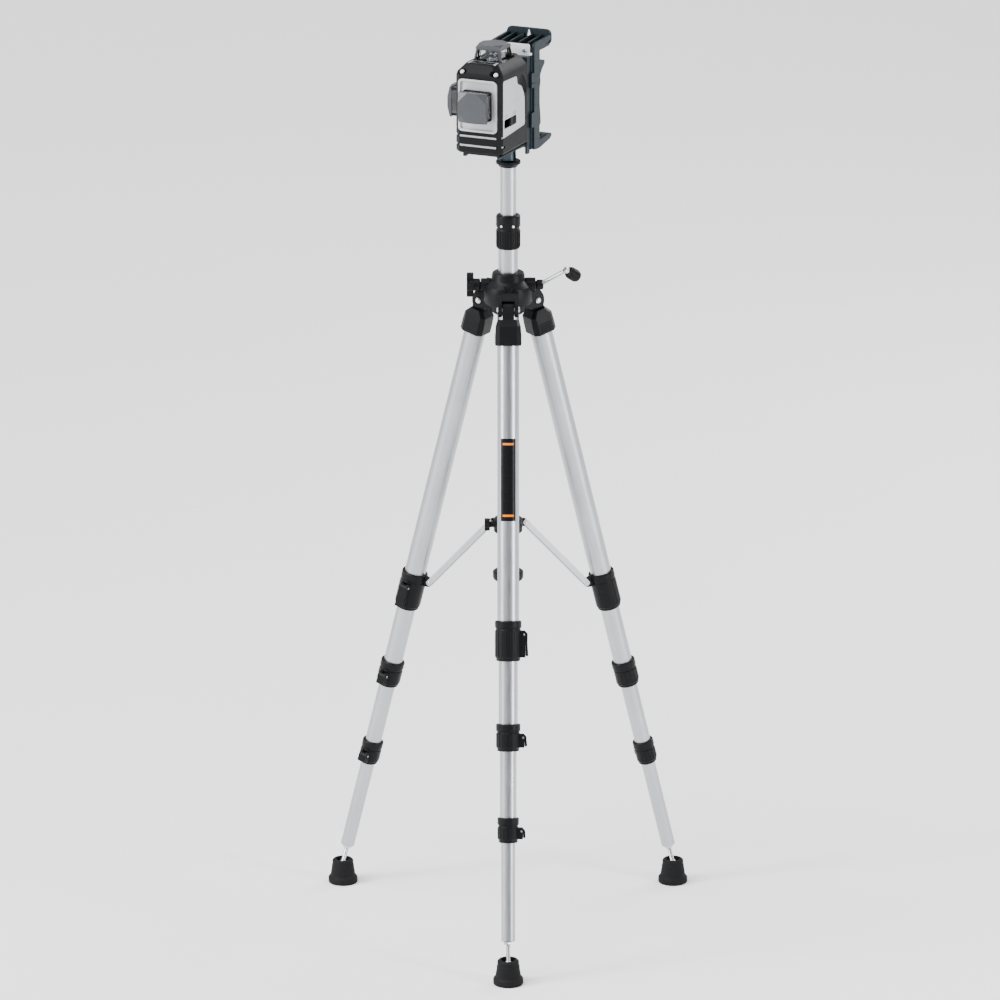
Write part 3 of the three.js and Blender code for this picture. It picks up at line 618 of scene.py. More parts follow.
def cross_screw(radius, thickness, depth=0.7):
    """A pan head with a cross recess, its underside on Z = 0."""
    head = lathe([
        (0, 0), (radius, 0), (radius, thickness * 0.45), (radius * 0.82, thickness * 0.85),
        (radius * 0.5, thickness), (0, thickness),
    ], 40)
    arm = radius * 0.62
    slot = radius * 0.13
    top = thickness + 1
    bottom = thickness - depth
    crosses = [box((-arm, -slot, bottom), (arm, slot, top)), box((-slot, -arm, bottom), (slot, arm, top))]
    return carve(head, crosses)


def rivet(radius, height):
    return lathe([
        (0, 0), (radius, 0), (radius, height * 0.35), (radius * 0.8, height * 0.75),
        (radius * 0.45, height), (0, height),
    ], 32)


def threaded(radius, start, end, pitch, segments=32):
    """A bar whose outline steps in and out once a pitch, as a thread reads from a distance."""
    outline = [(0, start)]
    height = start
    while height + pitch <= end:
        outline += [(radius - pitch * 0.45, height), (radius, height + pitch * 0.45)]
        height += pitch
    outline += [(radius - pitch * 0.45, end), (0, end)]
    return lathe(outline, segments)


def knurled(radius, start, end):
    """A bar with a diamond knurl between two chamfered ends."""
    segments, rows, depth, edge, inset = 112, 16, 0.45, 0.8, 1.3
    loops = [circle(radius - inset, start, segments)]
    for row in range(rows + 1):
        height = start + edge + (end - start - 2 * edge) * row / rows
        ridge = circle(radius, height, segments)
        valley = circle(radius - depth, height, segments)
        loops.append([ridge[i] if (i + row) % 2 else valley[i] for i in range(segments)])
    loops.append(circle(radius - inset, end, segments))
    return loft(loops)


# ---- tripod legs


def leg_tube(sizes):
    return tube(sizes["outer"], sizes["inner"], -sizes["to"], -sizes["from"])


def shoulder_loop(height, reach, half, cut):
    """One level of the shoulder block: an oblong across the leg with its corners cut off."""
    return [
        (reach, half - cut, height), (reach - cut, half, height), (-reach + cut, half, height),
        (-reach, half - cut, height), (-reach, -half + cut, height), (-reach + cut, -half, height),
        (reach - cut, -half, height), (reach, -half + cut, height),
    ]


def shoulder():
    """The faceted block at a leg's top: it grips the tube below and narrows to the clevis above."""
    levels = (
        (-50, 16.6, 17.2, 5.6), (-48.6, 17.6, 18.2, 6), (-36, 17.6, 18.2, 6), (-23, 16.7, 17.4, 5),
        (-14, 9.6, 14.8, 4),
    )
    block = loft([shoulder_loop(*level) for level in levels])
    block = carve(block, [rod(15.4, -52, -23.6, 64)])
    tongue = slab(softened([(-9, -16), (10, -16), (9.5, -4), (7, 8.6), (-7, 8.6), (-9, 2)], 4), 0, 8, "y")
    badge = prism(softened([(-11, -47), (11, -47), (8.6, -35), (-8.6, -35)], 2), 17.2, 18.3, "x")
    ribs = [
        box((-9, side * 18.5 - 0.7, -46.5 + i * 3.6), (9, side * 18.5 + 0.1, -45 + i * 3.6))
        for side in SIDES for i in range(4)
    ]
    return merged(block, tongue, badge, *ribs)


def lock_sleeve(sizes, upper, lower):
    """The two-part clamp: a collar on the outer tube, a split ring on the inner one, and raised bands."""
    low, high, outer = -sizes["to"], -sizes["from"], sizes["outer"]
    step = max(-upper["to"] - 1, low + 8)
    neck = lower["outer"] + 0.5
    throat = upper["outer"] + 0.35
    outline = [
        (neck, low), (outer - 2.6, low), (outer - 1.8, low + 1), (outer - 1.8, low + 4),
        (outer - 0.6, low + 5), (outer - 0.6, high - 13), (outer - 1.4, high - 12.4),
        (outer - 1.4, high - 10.4), (outer, high - 9.6), (outer, high - 1.2), (outer - 1, high),
        (throat, high), (throat, step), (neck, step),
    ]
    sleeve = lathe(outline, 64)
    jaws = box_pair(4.4, 2.2, (outer - 2.5, low + 5), (outer + 5.5, high - 14))
    ribs = spokes((outer - 1.2, -0.6, low + 6), (outer - 0.1, 0.6, high - 14), range(-150, 31, 20))
    return merged(sleeve, *jaws, *ribs)


def flip_lever(sizes):
    """The cam lever that closes a leg lock: a curved paddle with a finger lip."""
    low, high, outer = -sizes["to"] + 6, -sizes["from"] - 15, sizes["outer"]
    middle = (low + high) / 2
    outline = [
        (outer + 1, high - 1), (outer + 5.5, high), (outer + 8.6, high - 3), (outer + 8.4, middle),
        (outer + 9.3, low + 2), (outer + 8, low), (outer + 5.6, low + 1.5), (outer + 5.6, middle - 1),
        (outer + 2, middle + 1),
    ]
    paddle = slab(softened(outline, 1.6), 0, 6)
    pin = aimed(rod(1.4, -7.2, 7.2, 20, 0.3), PLUS_X, (0, outer + 3.4, high - 4))
    grips = [
        box((-4.6, outer + 8.2, low + 3 + i * 2.2), (4.6, outer + 9.2, low + 4 + i * 2.2)) for i in range(3)
    ]
    return merged(paddle, *grips), pin


def brace_lug():
    low, high = -BRACE_LUG_ALONG - 7, -BRACE_LUG_ALONG + 5
    outline = [
        (-16.8, low - 3), (-BRACE_LUG_INWARD - 1, low), (-BRACE_LUG_INWARD - 4, -BRACE_LUG_ALONG),
        (-BRACE_LUG_INWARD - 2, high), (-16.8, high + 2),
    ]
    return slab(softened(outline, 2.2), 0, 2.5, "y")


def foot():
    """A rubber bell foot with a ribbed skirt and a socket for the spindle's ball."""
    outline = [
        (9.6, 18), (9.6, 35), (13, 35), (15, 33), (15.2, 27), (15.9, 26.4), (16.1, 22),
        (17.2, 16), (17.8, 11), (20.4, 8.4), (21, 6.5), (21, 1), (20.4, 0), (12, 0), (11, 1), (3, 1), (3, 17),
    ]
    body = lathe(outline, 72)
    pad = rod(3.2, 0.6, 17.4, 32)
    treads = spokes((17, -0.9, 1.2), (20.9, 0.9, 7.5), range(0, 360, 30))
    return merged(body, pad, *treads)


def spindle():
    """The threaded spindle below the last tube, with its lock nut and ball."""
    end = -TUBES[-1]["to"]
    thread = threaded(3, -FOOT_BALL + 3, end + 2, 1.25)
    nut = lathe([
        (0, end - 4.5), (6.2, end - 4.5), (6.8, end - 3.9), (6.8, end - 1.1), (6.2, end - 0.5),
        (0, end - 0.5),
    ], 6)
    return merged(thread, nut, turned(ball(5), shift(0, 0, -FOOT_BALL)))


def make_leg(letter):
    place = leg_frame(letter)

    def name(rest):
        return f"leg_{letter}_{rest}"

    bodies = [name(part) for part in ("upper", "second", "third", "last")]
    upper, last = bodies[0], bodies[-1]
    piece(name("shoulder_socket"), shoulder(), place, "tripod", upper, name("shoulder"), 0.7)
    bolt = merged(
        aimed(rivet(4.2, 2.2), PLUS_Y, (0, CLEVIS_HALF, 0)),
        aimed(rivet(4.2, 2.2), MINUS_Y, (0, -CLEVIS_HALF, 0)),
        aimed(rod(2.9, -CLEVIS_HALF, CLEVIS_HALF, 24), PLUS_Y),
    )
    piece(name("pivot_bolt"), bolt, place, "steel", upper)
    for number, (sizes, body) in enumerate(zip(TUBES, bodies), 1):
        node = name(f"tube_{number}")
        piece(node + "_skin", leg_tube(sizes), place, "aluminium", body, node)
    for number, (sizes, body) in enumerate(zip(LOCKS, bodies), 1):
        node = name(f"lock_{number}")
        sleeve = lock_sleeve(sizes, TUBES[number - 1], TUBES[number])
        if number == 1:
            sleeve = merged(sleeve, brace_lug())
        piece(node + "_sleeve", sleeve, place, "tripod", body, node, 0.5)
        paddle, pin = flip_lever(sizes)
        piece(node + "_lever", paddle, place, "tripod", body, edge=0.5)
        piece(node + "_pin", pin, place, "steel", body)
    piece(name("spindle"), spindle(), place, "steel", last)
    pivot = Vector(JOINTS[name("foot_tilt")]["pos_m"])
    standing = Matrix.Translation((pivot.x, pivot.y, 0))
    piece(name("rubber_foot"), foot(), standing, "foot", name("foot"), name("foot"), 0.5)


def make_brace(letter):
    """A folded U-channel strut with round ends and a rivet at each pivot."""
    place = brace_frame(letter)
    length = (place.translation - lug_point(letter)).length / MM
    outline = softened([(-4, -length - 4.4), (4, -length - 4.4), (4, 4.4), (-4, 4.4)], 3.9, 6)
    cheeks = [slab(outline, side * 3.7, 0.55, "y") for side in SIDES]
    web = slab([(2.9, -length + 17), (4, -length + 16), (4, -13), (2.9, -14)], 0, 3.9, "y")
    body = f"leg_{letter}_brace"
    piece(body + "_channel", merged(*cheeks, web), place, "aluminium", body, body, 0.25)
    rivets = merged(*[
        aimed(rivet(2.7, 1.3), (0, side, 0), (0, side * 4.2, height))
        for side in SIDES for height in (0, -length)
    ])
    piece(body + "_rivets", rivets, place, "steel", body)


def make_leg_label():
    """A plain black film strip with two orange bands, where a maker would put a name."""
    place = leg_frame("a")
    radius = TUBES[0]["outer"] + 0.12

    def film(start, end, half_turn, lift):
        angles = [half_turn * (i / 12 - 1) for i in range(25)]
        outer, inner = radius + lift, radius - 0.1
        outline = [(outer * math.cos(t), outer * math.sin(t)) for t in angles]
        outline += [(inner * math.cos(t), inner * math.sin(t)) for t in reversed(angles)]
        return prism(outline, start, end)

    piece("leg_a_label", film(-292, -178, math.radians(42), 0.1), place, "label", "leg_a_upper")
    bands = merged(*[film(z, z + 3, math.radians(30), 0.16) for z in (-286, -187)])
    piece("leg_a_label_bands", bands, place, "orange", "leg_a_upper")


# ---- tripod centre


def around(bm_maker):
    """One copy for each leg direction, in degrees from the crank's axis."""
    return [spun(bm_maker(), turn) for turn in (-90, 30, 150)]


def crown():
    """The spider: a stepped dome, three clevis arms with ribs, and two bosses."""
    dome = lathe([
        (15.4, 889), (20, 889), (25, 893), (26.5, 901), (33, 903.5), (34, 906), (34, 925), (32.5, 929),
        (27.5, 933), (24.5, 935.5), (23.2, 938), (22.8, 944), (21.5, 947), (19.5, 948), (14.2, 948),
        (14.2, 946.4), (15.4, 946.4),
    ], 96)
    mouths = around(lambda: box((27.6, -8.5, 880), (52, 8.5, 915.4)))
    dome = carve(dome, mouths)

    def cheeks():
        outline = softened([(20, 894), (46, 894), (50, 899), (50, 909), (46, 916), (38, 926), (20, 930)], 3.4)
        return merged(*[slab(outline, side * 11.2, 2.4, "y") for side in SIDES])

    def brow():
        return slab(softened([(30, 916.2), (45, 916.2), (38, 925.6), (30, 930.5)], 2), 0, 9, "y")

    def ribs():
        return merged(*[box((23, side * 5 - 1, 928), (37, side * 5 + 1, 933)) for side in SIDES])

    boss = aimed(tube(10, 5.4, 24, 38, 40, 0.8), PLUS_X, (0, 0, CROWN_BOSS_Z))
    screw_boss = aimed(tube(9, 4.4, 24, 38, 40, 0.8), MINUS_X, (0, 0, CROWN_BOSS_Z))
    return merged(dome, *around(cheeks), *around(brow), *around(ribs), boss, screw_boss)


def make_centre():
    piece("crown_casting", crown(), CENTRE, "tripod", "stand", "crown", 0.6)
    for name, sizes, body, node in (
        ("guide_tube_skin", GUIDE, "stand", "guide_tube"),
        ("column_skin", COLUMN, "column", "column_tube"),
        ("extension_skin", EXTENSION, "extension", "extension_tube"),
    ):
        skin = tube(sizes["outer"], sizes["inner"], sizes["bottom"], sizes["top"])
        piece(name, skin, CENTRE, "aluminium", body, node)
    cap = lathe([
        (15.4, 503), (15.4, 514), (19.6, 514), (21.5, 512.5), (21.5, 504.5), (20, 501.4), (17, 500), (8, 500),
        (8, 502.6), (15, 502.6),
    ], 72)
    piece("guide_cap", cap, CENTRE, "tripod", "stand", "guide_end_cap", 0.4)
    rack = merged(*[box((-3, 12.6, 650 + i * 4), (3, 14.3, 652 + i * 4)) for i in range(80)])
    strip = box((-3.4, 12.4, 645), (3.4, 13.7, 975))
    piece("column_rack", merged(strip, rack), CENTRE, "switch", "column")
    make_brace_hub()
    make_collar()
    make_platform()
    make_crank()
    make_column_lock()


def make_brace_hub():
    height = JOINTS["leg_a_brace_swing"]["pos_m"][2] / MM
    ring = tube(20, 15.4, height - 10, height + 10, 72, 1.2)
    waist = tube(20.6, 18, height - 3, height + 3, 72, 0.8)
    lug = [(18, height - 6), (28, height - 5.5), (31, height), (28, height + 5.5), (18, height + 6)]
    lugs = around(lambda: slab(softened(lug, 2.5), 0, 2.5, "y"))
    piece("brace_hub_ring", merged(ring, waist, *lugs), CENTRE, "tripod", "brace_hub", "brace_hub", 0.4)
    screw = aimed(rod(4, 17, 26, 24), MINUS_X, (0, 0, height))
    places = [(0, y, height + z) for y, z, _ in circle(6.4, 0, 6)]
    lobes = [aimed(rod(2.6, 25.5, 33, 20, 0.8), MINUS_X, at) for at in places]
    head = aimed(rod(7, 25.5, 33, 36, 1), MINUS_X, (0, 0, height))
    piece("brace_hub_knob", merged(screw, head, *lobes), CENTRE, "tripod", "brace_hub", edge=0.3)


def make_collar():
    """The twist collar: a ribbed grip below and a smooth cone with six small metal pips above."""
    sleeve = lathe([
        (14, 982), (15.4, 982), (16.2, 983), (16.2, 1009), (15.6, 1010), (15.6, 1012.4), (16.8, 1013.4),
        (17, 1026), (16.4, 1028.6), (14.6, 1030), (11.5, 1030), (11.5, 1001), (14, 1001),
    ], 96)
    ribs = spokes((15.6, -0.55, 984.5), (16.9, 0.55, 1007.5), range(0, 360, 12))
    piece("collar_sleeve", merged(sleeve, *ribs), CENTRE, "tripod", "collar", "column_collar", 0.35)
    pips = []
    for turn in range(-125, 235, 60):
        angle = math.radians(turn)
        outwards = (math.cos(angle), math.sin(angle), 0)
        pips.append(aimed(rod(1.9, 16.4, 17.25, 24, 0.3), outwards, (0, 0, 1015.5)))
    piece("collar_pips", merged(*pips), CENTRE, "steel", "collar")


def make_platform():
    """The top plate with a milled rim, and the camera stud that stands on it."""
    top = PLATFORM_TOP
    plate = lathe([
        (0, 1084), (9.3, 1084), (9.3, 1098.3), (12.8, 1098.3), (13.4, 1099.4), (14.4, 1101.2), (16.4, 1102.2),
        (17, 1102.8), (17, top - 0.7), (16.3, top), (12, top), (11.6, top - 0.5), (8, top - 0.5), (7.6, top),
        (0, top),
    ], 96)
    mill = spokes((16.4, -0.35, 1102.6), (17.1, 0.35, top - 0.6), range(0, 360, 10))
    piece("platform_plate", merged(plate, *mill), CENTRE, "tripod", "extension", "platform", 0.25)
    stud = merged(threaded(4.6, top, top + 9.4, 1.5), rod(3.8, top + 9, top + 10, 32, 0.5))
    piece("platform_stud", stud, CENTRE, "steel", "extension")


def make_crank():
    place = crank_frame()
    tip = Vector((CRANK_KNEE + CRANK_ARM * math.sin(CRANK_LEAN), 0, CRANK_ARM * math.cos(CRANK_LEAN)))
    knee = Vector((CRANK_KNEE, 0, 0))
    shaft = aimed(rod(5, 17, 49, 40, 0.8), PLUS_X)
    cheek = aimed(rod(7, 39, 48.5, 40, 1.2), PLUS_X)
    piece("crank_hub", merged(shaft, cheek), place, "tripod", "crank", edge=0.3)
    arm = bar_between(knee, tip, 3, 32)
    spin = Vector(JOINTS["crank_grip_spin"]["axis"])
    local_spin = place.to_3x3().inverted() @ spin
    pin = aimed(rod(2.5, -2, 22, 24), local_spin, tip)
    eye = aimed(rod(4.2, -3, 3.4, 32, 0.6), local_spin, tip)
    piece("crank_arm", merged(arm, pin, eye), place, "steel", "crank", "crank", 0.3)
    grip = lathe([
        (0, 4.4), (5.8, 4.2), (7.2, 5), (8.1, 7), (8.5, 10), (8.3, 14), (8.5, 18), (8.1, 21), (7.2, 22.8),
        (5.4, 23.8), (0, 24),
    ], 48)
    ribs = spokes((7.6, -0.45, 8), (8.75, 0.45, 20), range(0, 360, 24))
    at_tip = place @ towards(local_spin, tip)
    piece("crank_grip_barrel", merged(grip, *ribs), at_tip, "tripod", "crank_grip", "crank_grip", 0.3)


def make_column_lock():
    """The wing knob that clamps the column, with four rounded lobes."""
    place = CENTRE @ shift(0, 0, CROWN_BOSS_Z)
    screw = aimed(rod(4, 16.5, 50, 32), MINUS_X)
    hub = aimed(rod(8.6, 38.6, 54, 40, 1.4), MINUS_X)
    lobe_outline = softened([(0, -4.6), (15, -5.2), (17, -3.2), (17, 3.2), (15, 5.2), (0, 4.6)], 2.5)
    lobes = [aimed(spun(prism(lobe_outline, 48, 57.5), turn), MINUS_X) for turn in range(0, 360, 90)]
    piece("column_lock_star", merged(screw, hub, *lobes), place, "tripod", "column_lock",
          "column_lock_knob", 0.8)


# ---- bracket


def keyhole(x, z, start, end):
    """A round hole with a narrow slot above it."""
    hole, slot, rise = 3.2, 1.7, 7
    lower_arc = [math.radians(turn) for turn in range(-210, 31, 12)]
    upper_arc = [math.radians(turn) for turn in range(0, 181, 18)]
    outline = [(x + hole * math.cos(t), z + hole * math.sin(t)) for t in lower_arc]
    outline += [(x + slot * math.cos(t), z + rise + slot * math.sin(t)) for t in upper_arc]
    return prism(outline, start, end, "y")


def carriage_column():
    """The sliding column: a concave front between two flanges, keyhole and two magnet holes."""
    column = box((-29, -16, 9), (29, -5.6, 134))
    bay = loft([
        [(-24, -17, 18), (24, -17, 18), (20, -8.6, 18), (-20, -8.6, 18)],
        [(-19.5, -17, 135), (19.5, -17, 135), (14, -8.6, 135), (-14, -8.6, 135)],
    ])
    cutters = [bay, keyhole(2, 112, -17, 0)]
    for height in MAGNET_Z:
        cutters.append(aimed(rod(3, -11, -6.6, 32), PLUS_Y, (MAGNET_X, 0, height)))
    cutters.append(box((-24, -6.6, 20), (24, -5, 131)))
    return carve(column, cutters)


def shelf():
    """The cantilever shelf: a deck with two tapering skirts, cross ribs, a neck and the knob's boss."""
    deck_outline = [(-106, 15), (-104.5, 17.7), (-5.6, 17.7), (-5.6, 12), (-102, 12.5), (-106, 13.5)]
    deck = slab(softened(deck_outline, 0.8), 0, 27)
    skirt_outline = softened([
        (-105.8, 9.6), (-105.8, 16), (-6, 16), (-6, 9), (-22, 9), (-92, 12), (-95, 9.6),
    ], 3)
    skirts = [slab(skirt_outline, side * 25.4, 1.6) for side in SIDES]
    neck = box((-14, -30, 9), (14, -5.7, 17))
    boss = turned(rod(9, 9.05, 14, 48, 0.6), shift(0, STUD_Y, 0))
    ribs = [box((-25, y - 0.8, 12.2), (25, y + 0.8, 14)) for y in (-50, -70, -90)]
    return merged(deck, *skirts, neck, boss, *ribs)


def side_clip(side, low):
    """A spring clip that hooks over the rail's edge, with a pointer notch on the upper one."""
    outline = softened([(-9.4, low), (-0.5, low), (-0.5, low + 21), (-9.4, low + 21)], 1.2)
    plate = slab(outline, side * 31.9, 1.35)
    heel = box((side * 29.5 - 1.6, -9.2, low + 0.4), (side * 29.5 + 1.6, -5.7, low + 20.6))
    if low == LOWER_CLIP_Z:
        return [plate, heel]
    notch = box((side * 33 - 2.6, -12, low + 6), (side * 33 + 2.6, 1, low + 6.9))
    return [carve(plate, [notch]), heel]


def tab(side):
    outline = softened([(-15.8, -3), (-6.1, -3), (-6.1, 16), (-15.8, 16)], 2.6)
    return slab(outline, side * 27.4, 1.5)


def make_carriage():
    parts = [carriage_column(), shelf(), tab(-1), tab(1)]
    for side in SIDES:
        for low in (UPPER_CLIP_Z, LOWER_CLIP_Z):
            parts += side_clip(side, low)
    piece("carriage_moulding", merged(*parts), HEAD, "bracket", "head", "carriage", 0.6)
    magnets = merged(*[
        aimed(rod(2.9, -8.4, -7.4, 32, 0.2), PLUS_Y, (MAGNET_X, 0, height)) for height in MAGNET_Z
    ])
    piece("carriage_magnets", magnets, HEAD, "bracket_dark", "head")


def make_knob():
    """The knurled tripod knob, captive under the shelf, with its bore on the stud."""
    grip = knurled(10.75, -13.6, 1.4)
    grip = carve(grip, [rod(5, -15, -2.4, 32)])
    neck = lathe([(0, 0.8), (7.4, 0.8), (6.5, 2.4), (6.5, 8.6), (4, 8.6), (4, 16.6), (0, 16.6)], 48)
    place = HEAD @ shift(0, STUD_Y, 0)
    piece("knob_knurl", merged(grip, neck), place, "knob", "knob", "tripod_knob", 0.12, 1, 20)


RAIL_SIDE = [
    (0, 2), (2, 0), (17, -1), (19, -1), (55, 4.2), (59.5, 7.5), (59.5, 11.5), (19, 10), (19, 138.5),
    (29, 138.5), (32, 140), (38.5, 140.3), (41, 142), (48, 142.3), (51, 144), (58.8, 144.4), (58.8, 151),
    (4, 149.6), (1.2, 148), (0, 145),
]


def rail():
    """The rail: two side walls that run on into the upper jaw's outer ribs, a web and the lower jaw."""
    wall_half = 2
    walls = [slab(softened(RAIL_SIDE, 1.6, 3), side * (RAIL_HALF - wall_half), wall_half) for side in SIDES]
    tongues = box_pair(28.7, 1.5, (-5.2, 1.6), (3, RAIL_TOP))
    web = box((-31, 4, 1.4), (31, 7, RAIL_TOP))
    stiffeners = [box((x - 0.9, 6.5, 4), (x + 0.9, 9.5, 78)) for x in (-14, 0, 14)]
    floor = box((-31, 1, 136.6), (31, 58, 139.8))
    teeth = [box((-31, 24 + i * 5, 135.6), (31, 26.2 + i * 5, 137)) for i in range(7)]
    rib = softened([(4, 139), (57, 139), (57, 150.8), (9, 149.6), (4, 145)], 3.4)
    ribs = [slab(rib, x, 1.2) for x in (-19.8, -6.6, 6.6, 19.8)]
    upright_outline = [(-33.2, 136.4), (33.2, 136.4), (33.2, 158), (-33.2, 158)]
    upright = prism(softened(upright_outline, 8, 8), 55.5, 59.5, "y")
    ring = prism(softened([(-6, 140), (6, 140), (5, 157.2), (-5, 157.2)], 4), 54.9, 56, "y")
    upright, ring = [carve(part, [keyhole(0, 147, 50, 62)]) for part in (upright, ring)]
    lower_bar = box((-31, 46, 4.8), (31, 59.3, 11.3))
    lower_foot = box((-31, 4, 1.4), (31, 19, 9.8))
    ridges = box_pair(27.8, 0.9, (20, 9.6), (56, 12))
    ear = softened([(6, 80), (22, 84), (27, 88), (27, 93), (22, 97), (6, 101)], 3)
    ears = [slab(ear, x, 1.4) for x in (-EAR_X, EAR_X)]
    return merged(*walls, *tongues, web, *stiffeners, floor, *teeth, *ribs, upright, ring, lower_bar,
                  lower_foot, *ridges, *ears)


def rail_scale():
    """Engraved marks 10 mm apart down the front edge of the right wall, and a 5 mm scale down its rear edge,
    drawn as thin dark boxes whose dark colour is painted shade for the grooves.
    """
    x = RAIL_HALF
    front_top, front_count = 124, 7
    rear_top, rear_count, rear_edge = 112, 12, 18
    marks = []
    for i in range(front_count):
        height = front_top - i * TICK_STEP
        marks.append(box((x - 0.2, 0.8, height - 0.2), (x + 0.12, 5.6, height + 0.2)))
        marks.append(aimed(rod(0.55, -0.2, 0.14, 16), PLUS_X, (x, 6, height)))
    for i in range(rear_count):
        height = rear_top - i * TICK_STEP / 2
        start = rear_edge - (4.6 if i % 2 == 0 else 2.6)
        marks.append(box((x - 0.2, start, height - 0.18), (x + 0.12, rear_edge, height + 0.18)))
    return merged(*marks)


def make_rail():
    piece("rail_moulding", rail(), HEAD, "bracket", "rail", "rail_body", 0.5)
    # The ticks' near-black colour is painted shade for the engraved scale grooves.
    piece("rail_ticks_painted_shade", rail_scale(), HEAD, "bracket_dark", "rail")
    plate = prism(rounded_outline(26.7, 16.5, 2.5, 5, (0, 132.5)), -3.4, -0.4, "y")
    screws = (("left", -STRIP_SCREW_X), ("right", STRIP_SCREW_X))
    holes = [aimed(rod(1.8, -5, 1, 24), PLUS_Y, (x, 0, STRIP_SCREW_Z)) for _, x in screws]
    piece("strip_face", carve(plate, holes), HEAD, "white", "rail", "strip_plate", 0.3)
    for side, x in screws:
        head = aimed(cross_screw(3.2, 1.6), MINUS_Y, (x, -3.7, STRIP_SCREW_Z))
        shank = aimed(rod(1.3, -0.5, 4, 24), PLUS_Y, (x, -3.6, STRIP_SCREW_Z))
        node = f"strip_screw_{side}"
        piece(f"strip_{side}_screw", merged(head, shank), HEAD, "steel", "rail", node, 0.12)
    pin = aimed(rod(1.5, -29.4, 29.4, 24), PLUS_X, (0, LEVER_PIN_Y, LEVER_PIN_Z))
    heads = [
        aimed(rivet(2.1, 0.9), (side, 0, 0), (side * 28.9, LEVER_PIN_Y, LEVER_PIN_Z))
        for side in SIDES
    ]
    piece("lever_pin_rivet", merged(pin, *heads), HEAD, "steel", "rail", "lever_pin")


LEVER_OUTER = [
    (19.4, 124), (44.5, 117.8), (45.6, 116), (45.2, 112.6), (37, 107), (31.6, 101), (30.2, 97), (31.6, 92),
    (30.6, 87), (28, 80), (27, 72), (32.4, 34), (31.4, 30), (22, 24.4), (19.6, 26.5),
]
LEVER_INNER = [(24.6, 36), (20, 70), (17.6, 84), (17, 92), (17.6, 104)]


def lever():
    """The sprung lever: a horn under the upper jaw and a long paddle, slotted for the rail's ears."""
    body = slab(softened(LEVER_OUTER + LEVER_INNER, 2.4, 4), 0, 28.7)
    cavity = box((-21, 8, 80), (21, 27, 104))
    slots = [box((x - 1.9, 8, 80), (x + 1.9, 27.6, 101)) for x in (-EAR_X, EAR_X)]
    body = carve(body, [cavity, *slots])
    grips = [box((-22, 44.2, 112.9), (22, 46, 113.6))]
    for i in range(5):
        y = 30.2 + i * 0.52
        grips.append(box((-20, y - 1.2, 48 - i * 3.6), (20, y + 0.9, 49.4 - i * 3.6)))
    return merged(body, *grips)


def make_lever():
    piece("lever_moulding", lever(), HEAD, "bracket", "lever", "clamp_lever", 0.6)
    turns, radius, wire, half, steps = 5, 4.6, 0.7, 5, 24
    path = []
    for i in range(turns * steps + 1):
        turn = 2 * math.pi * i / steps
        x = -half + 2 * half * i / (turns * steps)
        path.append((x, LEVER_PIN_Y + radius * math.cos(turn), LEVER_PIN_Z + radius * math.sin(turn)))
    coil = [bar_between(a, b, wire, 10) for a, b in zip(path, path[1:])]
    piece("lever_spring", merged(*coil), HEAD, "steel", "rail", smooth=60)


# ---- laser

SIDE_PANEL = [(8, 22), (84, 26), (83, 66), (72, 84), (58, 89), (57, 101), (8, 103)]
FRONT_PANEL_Z = (30, 104)


def body_loop(z, inset_side, inset_front, inset_rear, corner):
    """One level of the laser's body: an oblong with its corners cut off."""
    half = SHELL_HALF - inset_side
    front, rear = inset_front, SHELL_DEPTH - inset_rear
    heel = corner * 0.6
    return [
        (-half, front + corner, z), (-half + corner, front, z), (half - corner, front, z),
        (half, front + corner, z), (half, rear - heel, z), (half - heel, rear, z), (-half + heel, rear, z),
        (-half, rear - heel, z),
    ]


def shell_body():
    levels = (
        (0, 1.5, 1.5, 1.5, 7), (2.2, 0, 0, 0, 8), (107, 0, 0, 0, 8), (112, 1.4, 1.4, 0.6, 8),
        (SHELL_HEIGHT - 2, 10.5, 10, 3.5, 7), (SHELL_HEIGHT, 13, 12.5, 6, 6),
    )
    return loft([body_loop(*level) for level in levels])


def shell():
    """The rubber shell: windows for the silver panels, a well for the turret, grooves and scoops."""
    low, high = FRONT_PANEL_Z
    side_window = softened(SIDE_PANEL, 5)
    cutters = [
        prism(rounded_outline(29, (high - low) / 2, 6, 6, (0, (low + high) / 2)), -1, 3.2, "y"),
        prism(side_window, SHELL_HALF - 2.6, SHELL_HALF + 1, "x"),
        prism(side_window, -SHELL_HALF - 1, -SHELL_HALF + 2.6, "x"),
        prism(rounded_outline(23.5, 23.5, 7, 6, (0, TURRET_Y)), SHELL_HEIGHT - 9, SHELL_HEIGHT + 1, "z"),
        box((-21, 13.5, SHELL_HEIGHT - 1.6), (21, 28.5, SHELL_HEIGHT + 1)),
    ]
    for height in STRIPE_Z:
        low, high = height - STRIPE_HALF - 0.1, height + STRIPE_HALF + 0.1
        cutters.append(box((-36, -1, low), (36, 2.4, high)))
        cutters += box_pair(34.2, 1.6, (-1, low), (14, high))
    for height in (37, 68):
        low, high = height - 0.3, height + 0.3
        for side in SIDES:
            cutters.append(box((side * 33.5 - 3.5, -1, low), (side * 33.5 + 3.5, 7.4, high)))
            cutters.append(box((side * 34.7 - 0.6, 83, low), (side * 34.7 + 0.6, 95, high)))
    tilt = Matrix.Rotation(math.radians(-52), 4, "X")
    for side in SIDES:
        groove = ball(10, (0.45, 1.9, 1), 40, 24)
        cutters.append(turned(groove, shift(side * 35.6, 73, 86) @ tilt))
    tilt = Matrix.Rotation(math.radians(-45), 4, "X")
    for side in SIDES:
        scoop = ball(9, (1, 1.5, 0.6))
        cutters.append(turned(scoop, shift(side * 25, -1, 117.5) @ tilt))
    return carve(shell_body(), cutters)


def flat_ring(outline, inner, start, end):
    """A flat ring along Y between two outlines with the same number of points."""
    levels = ((outline, start), (outline, end), (inner, end), (inner, start))
    return loft([[(x, y, z) for x, z in points] for points, y in levels], closed=True)


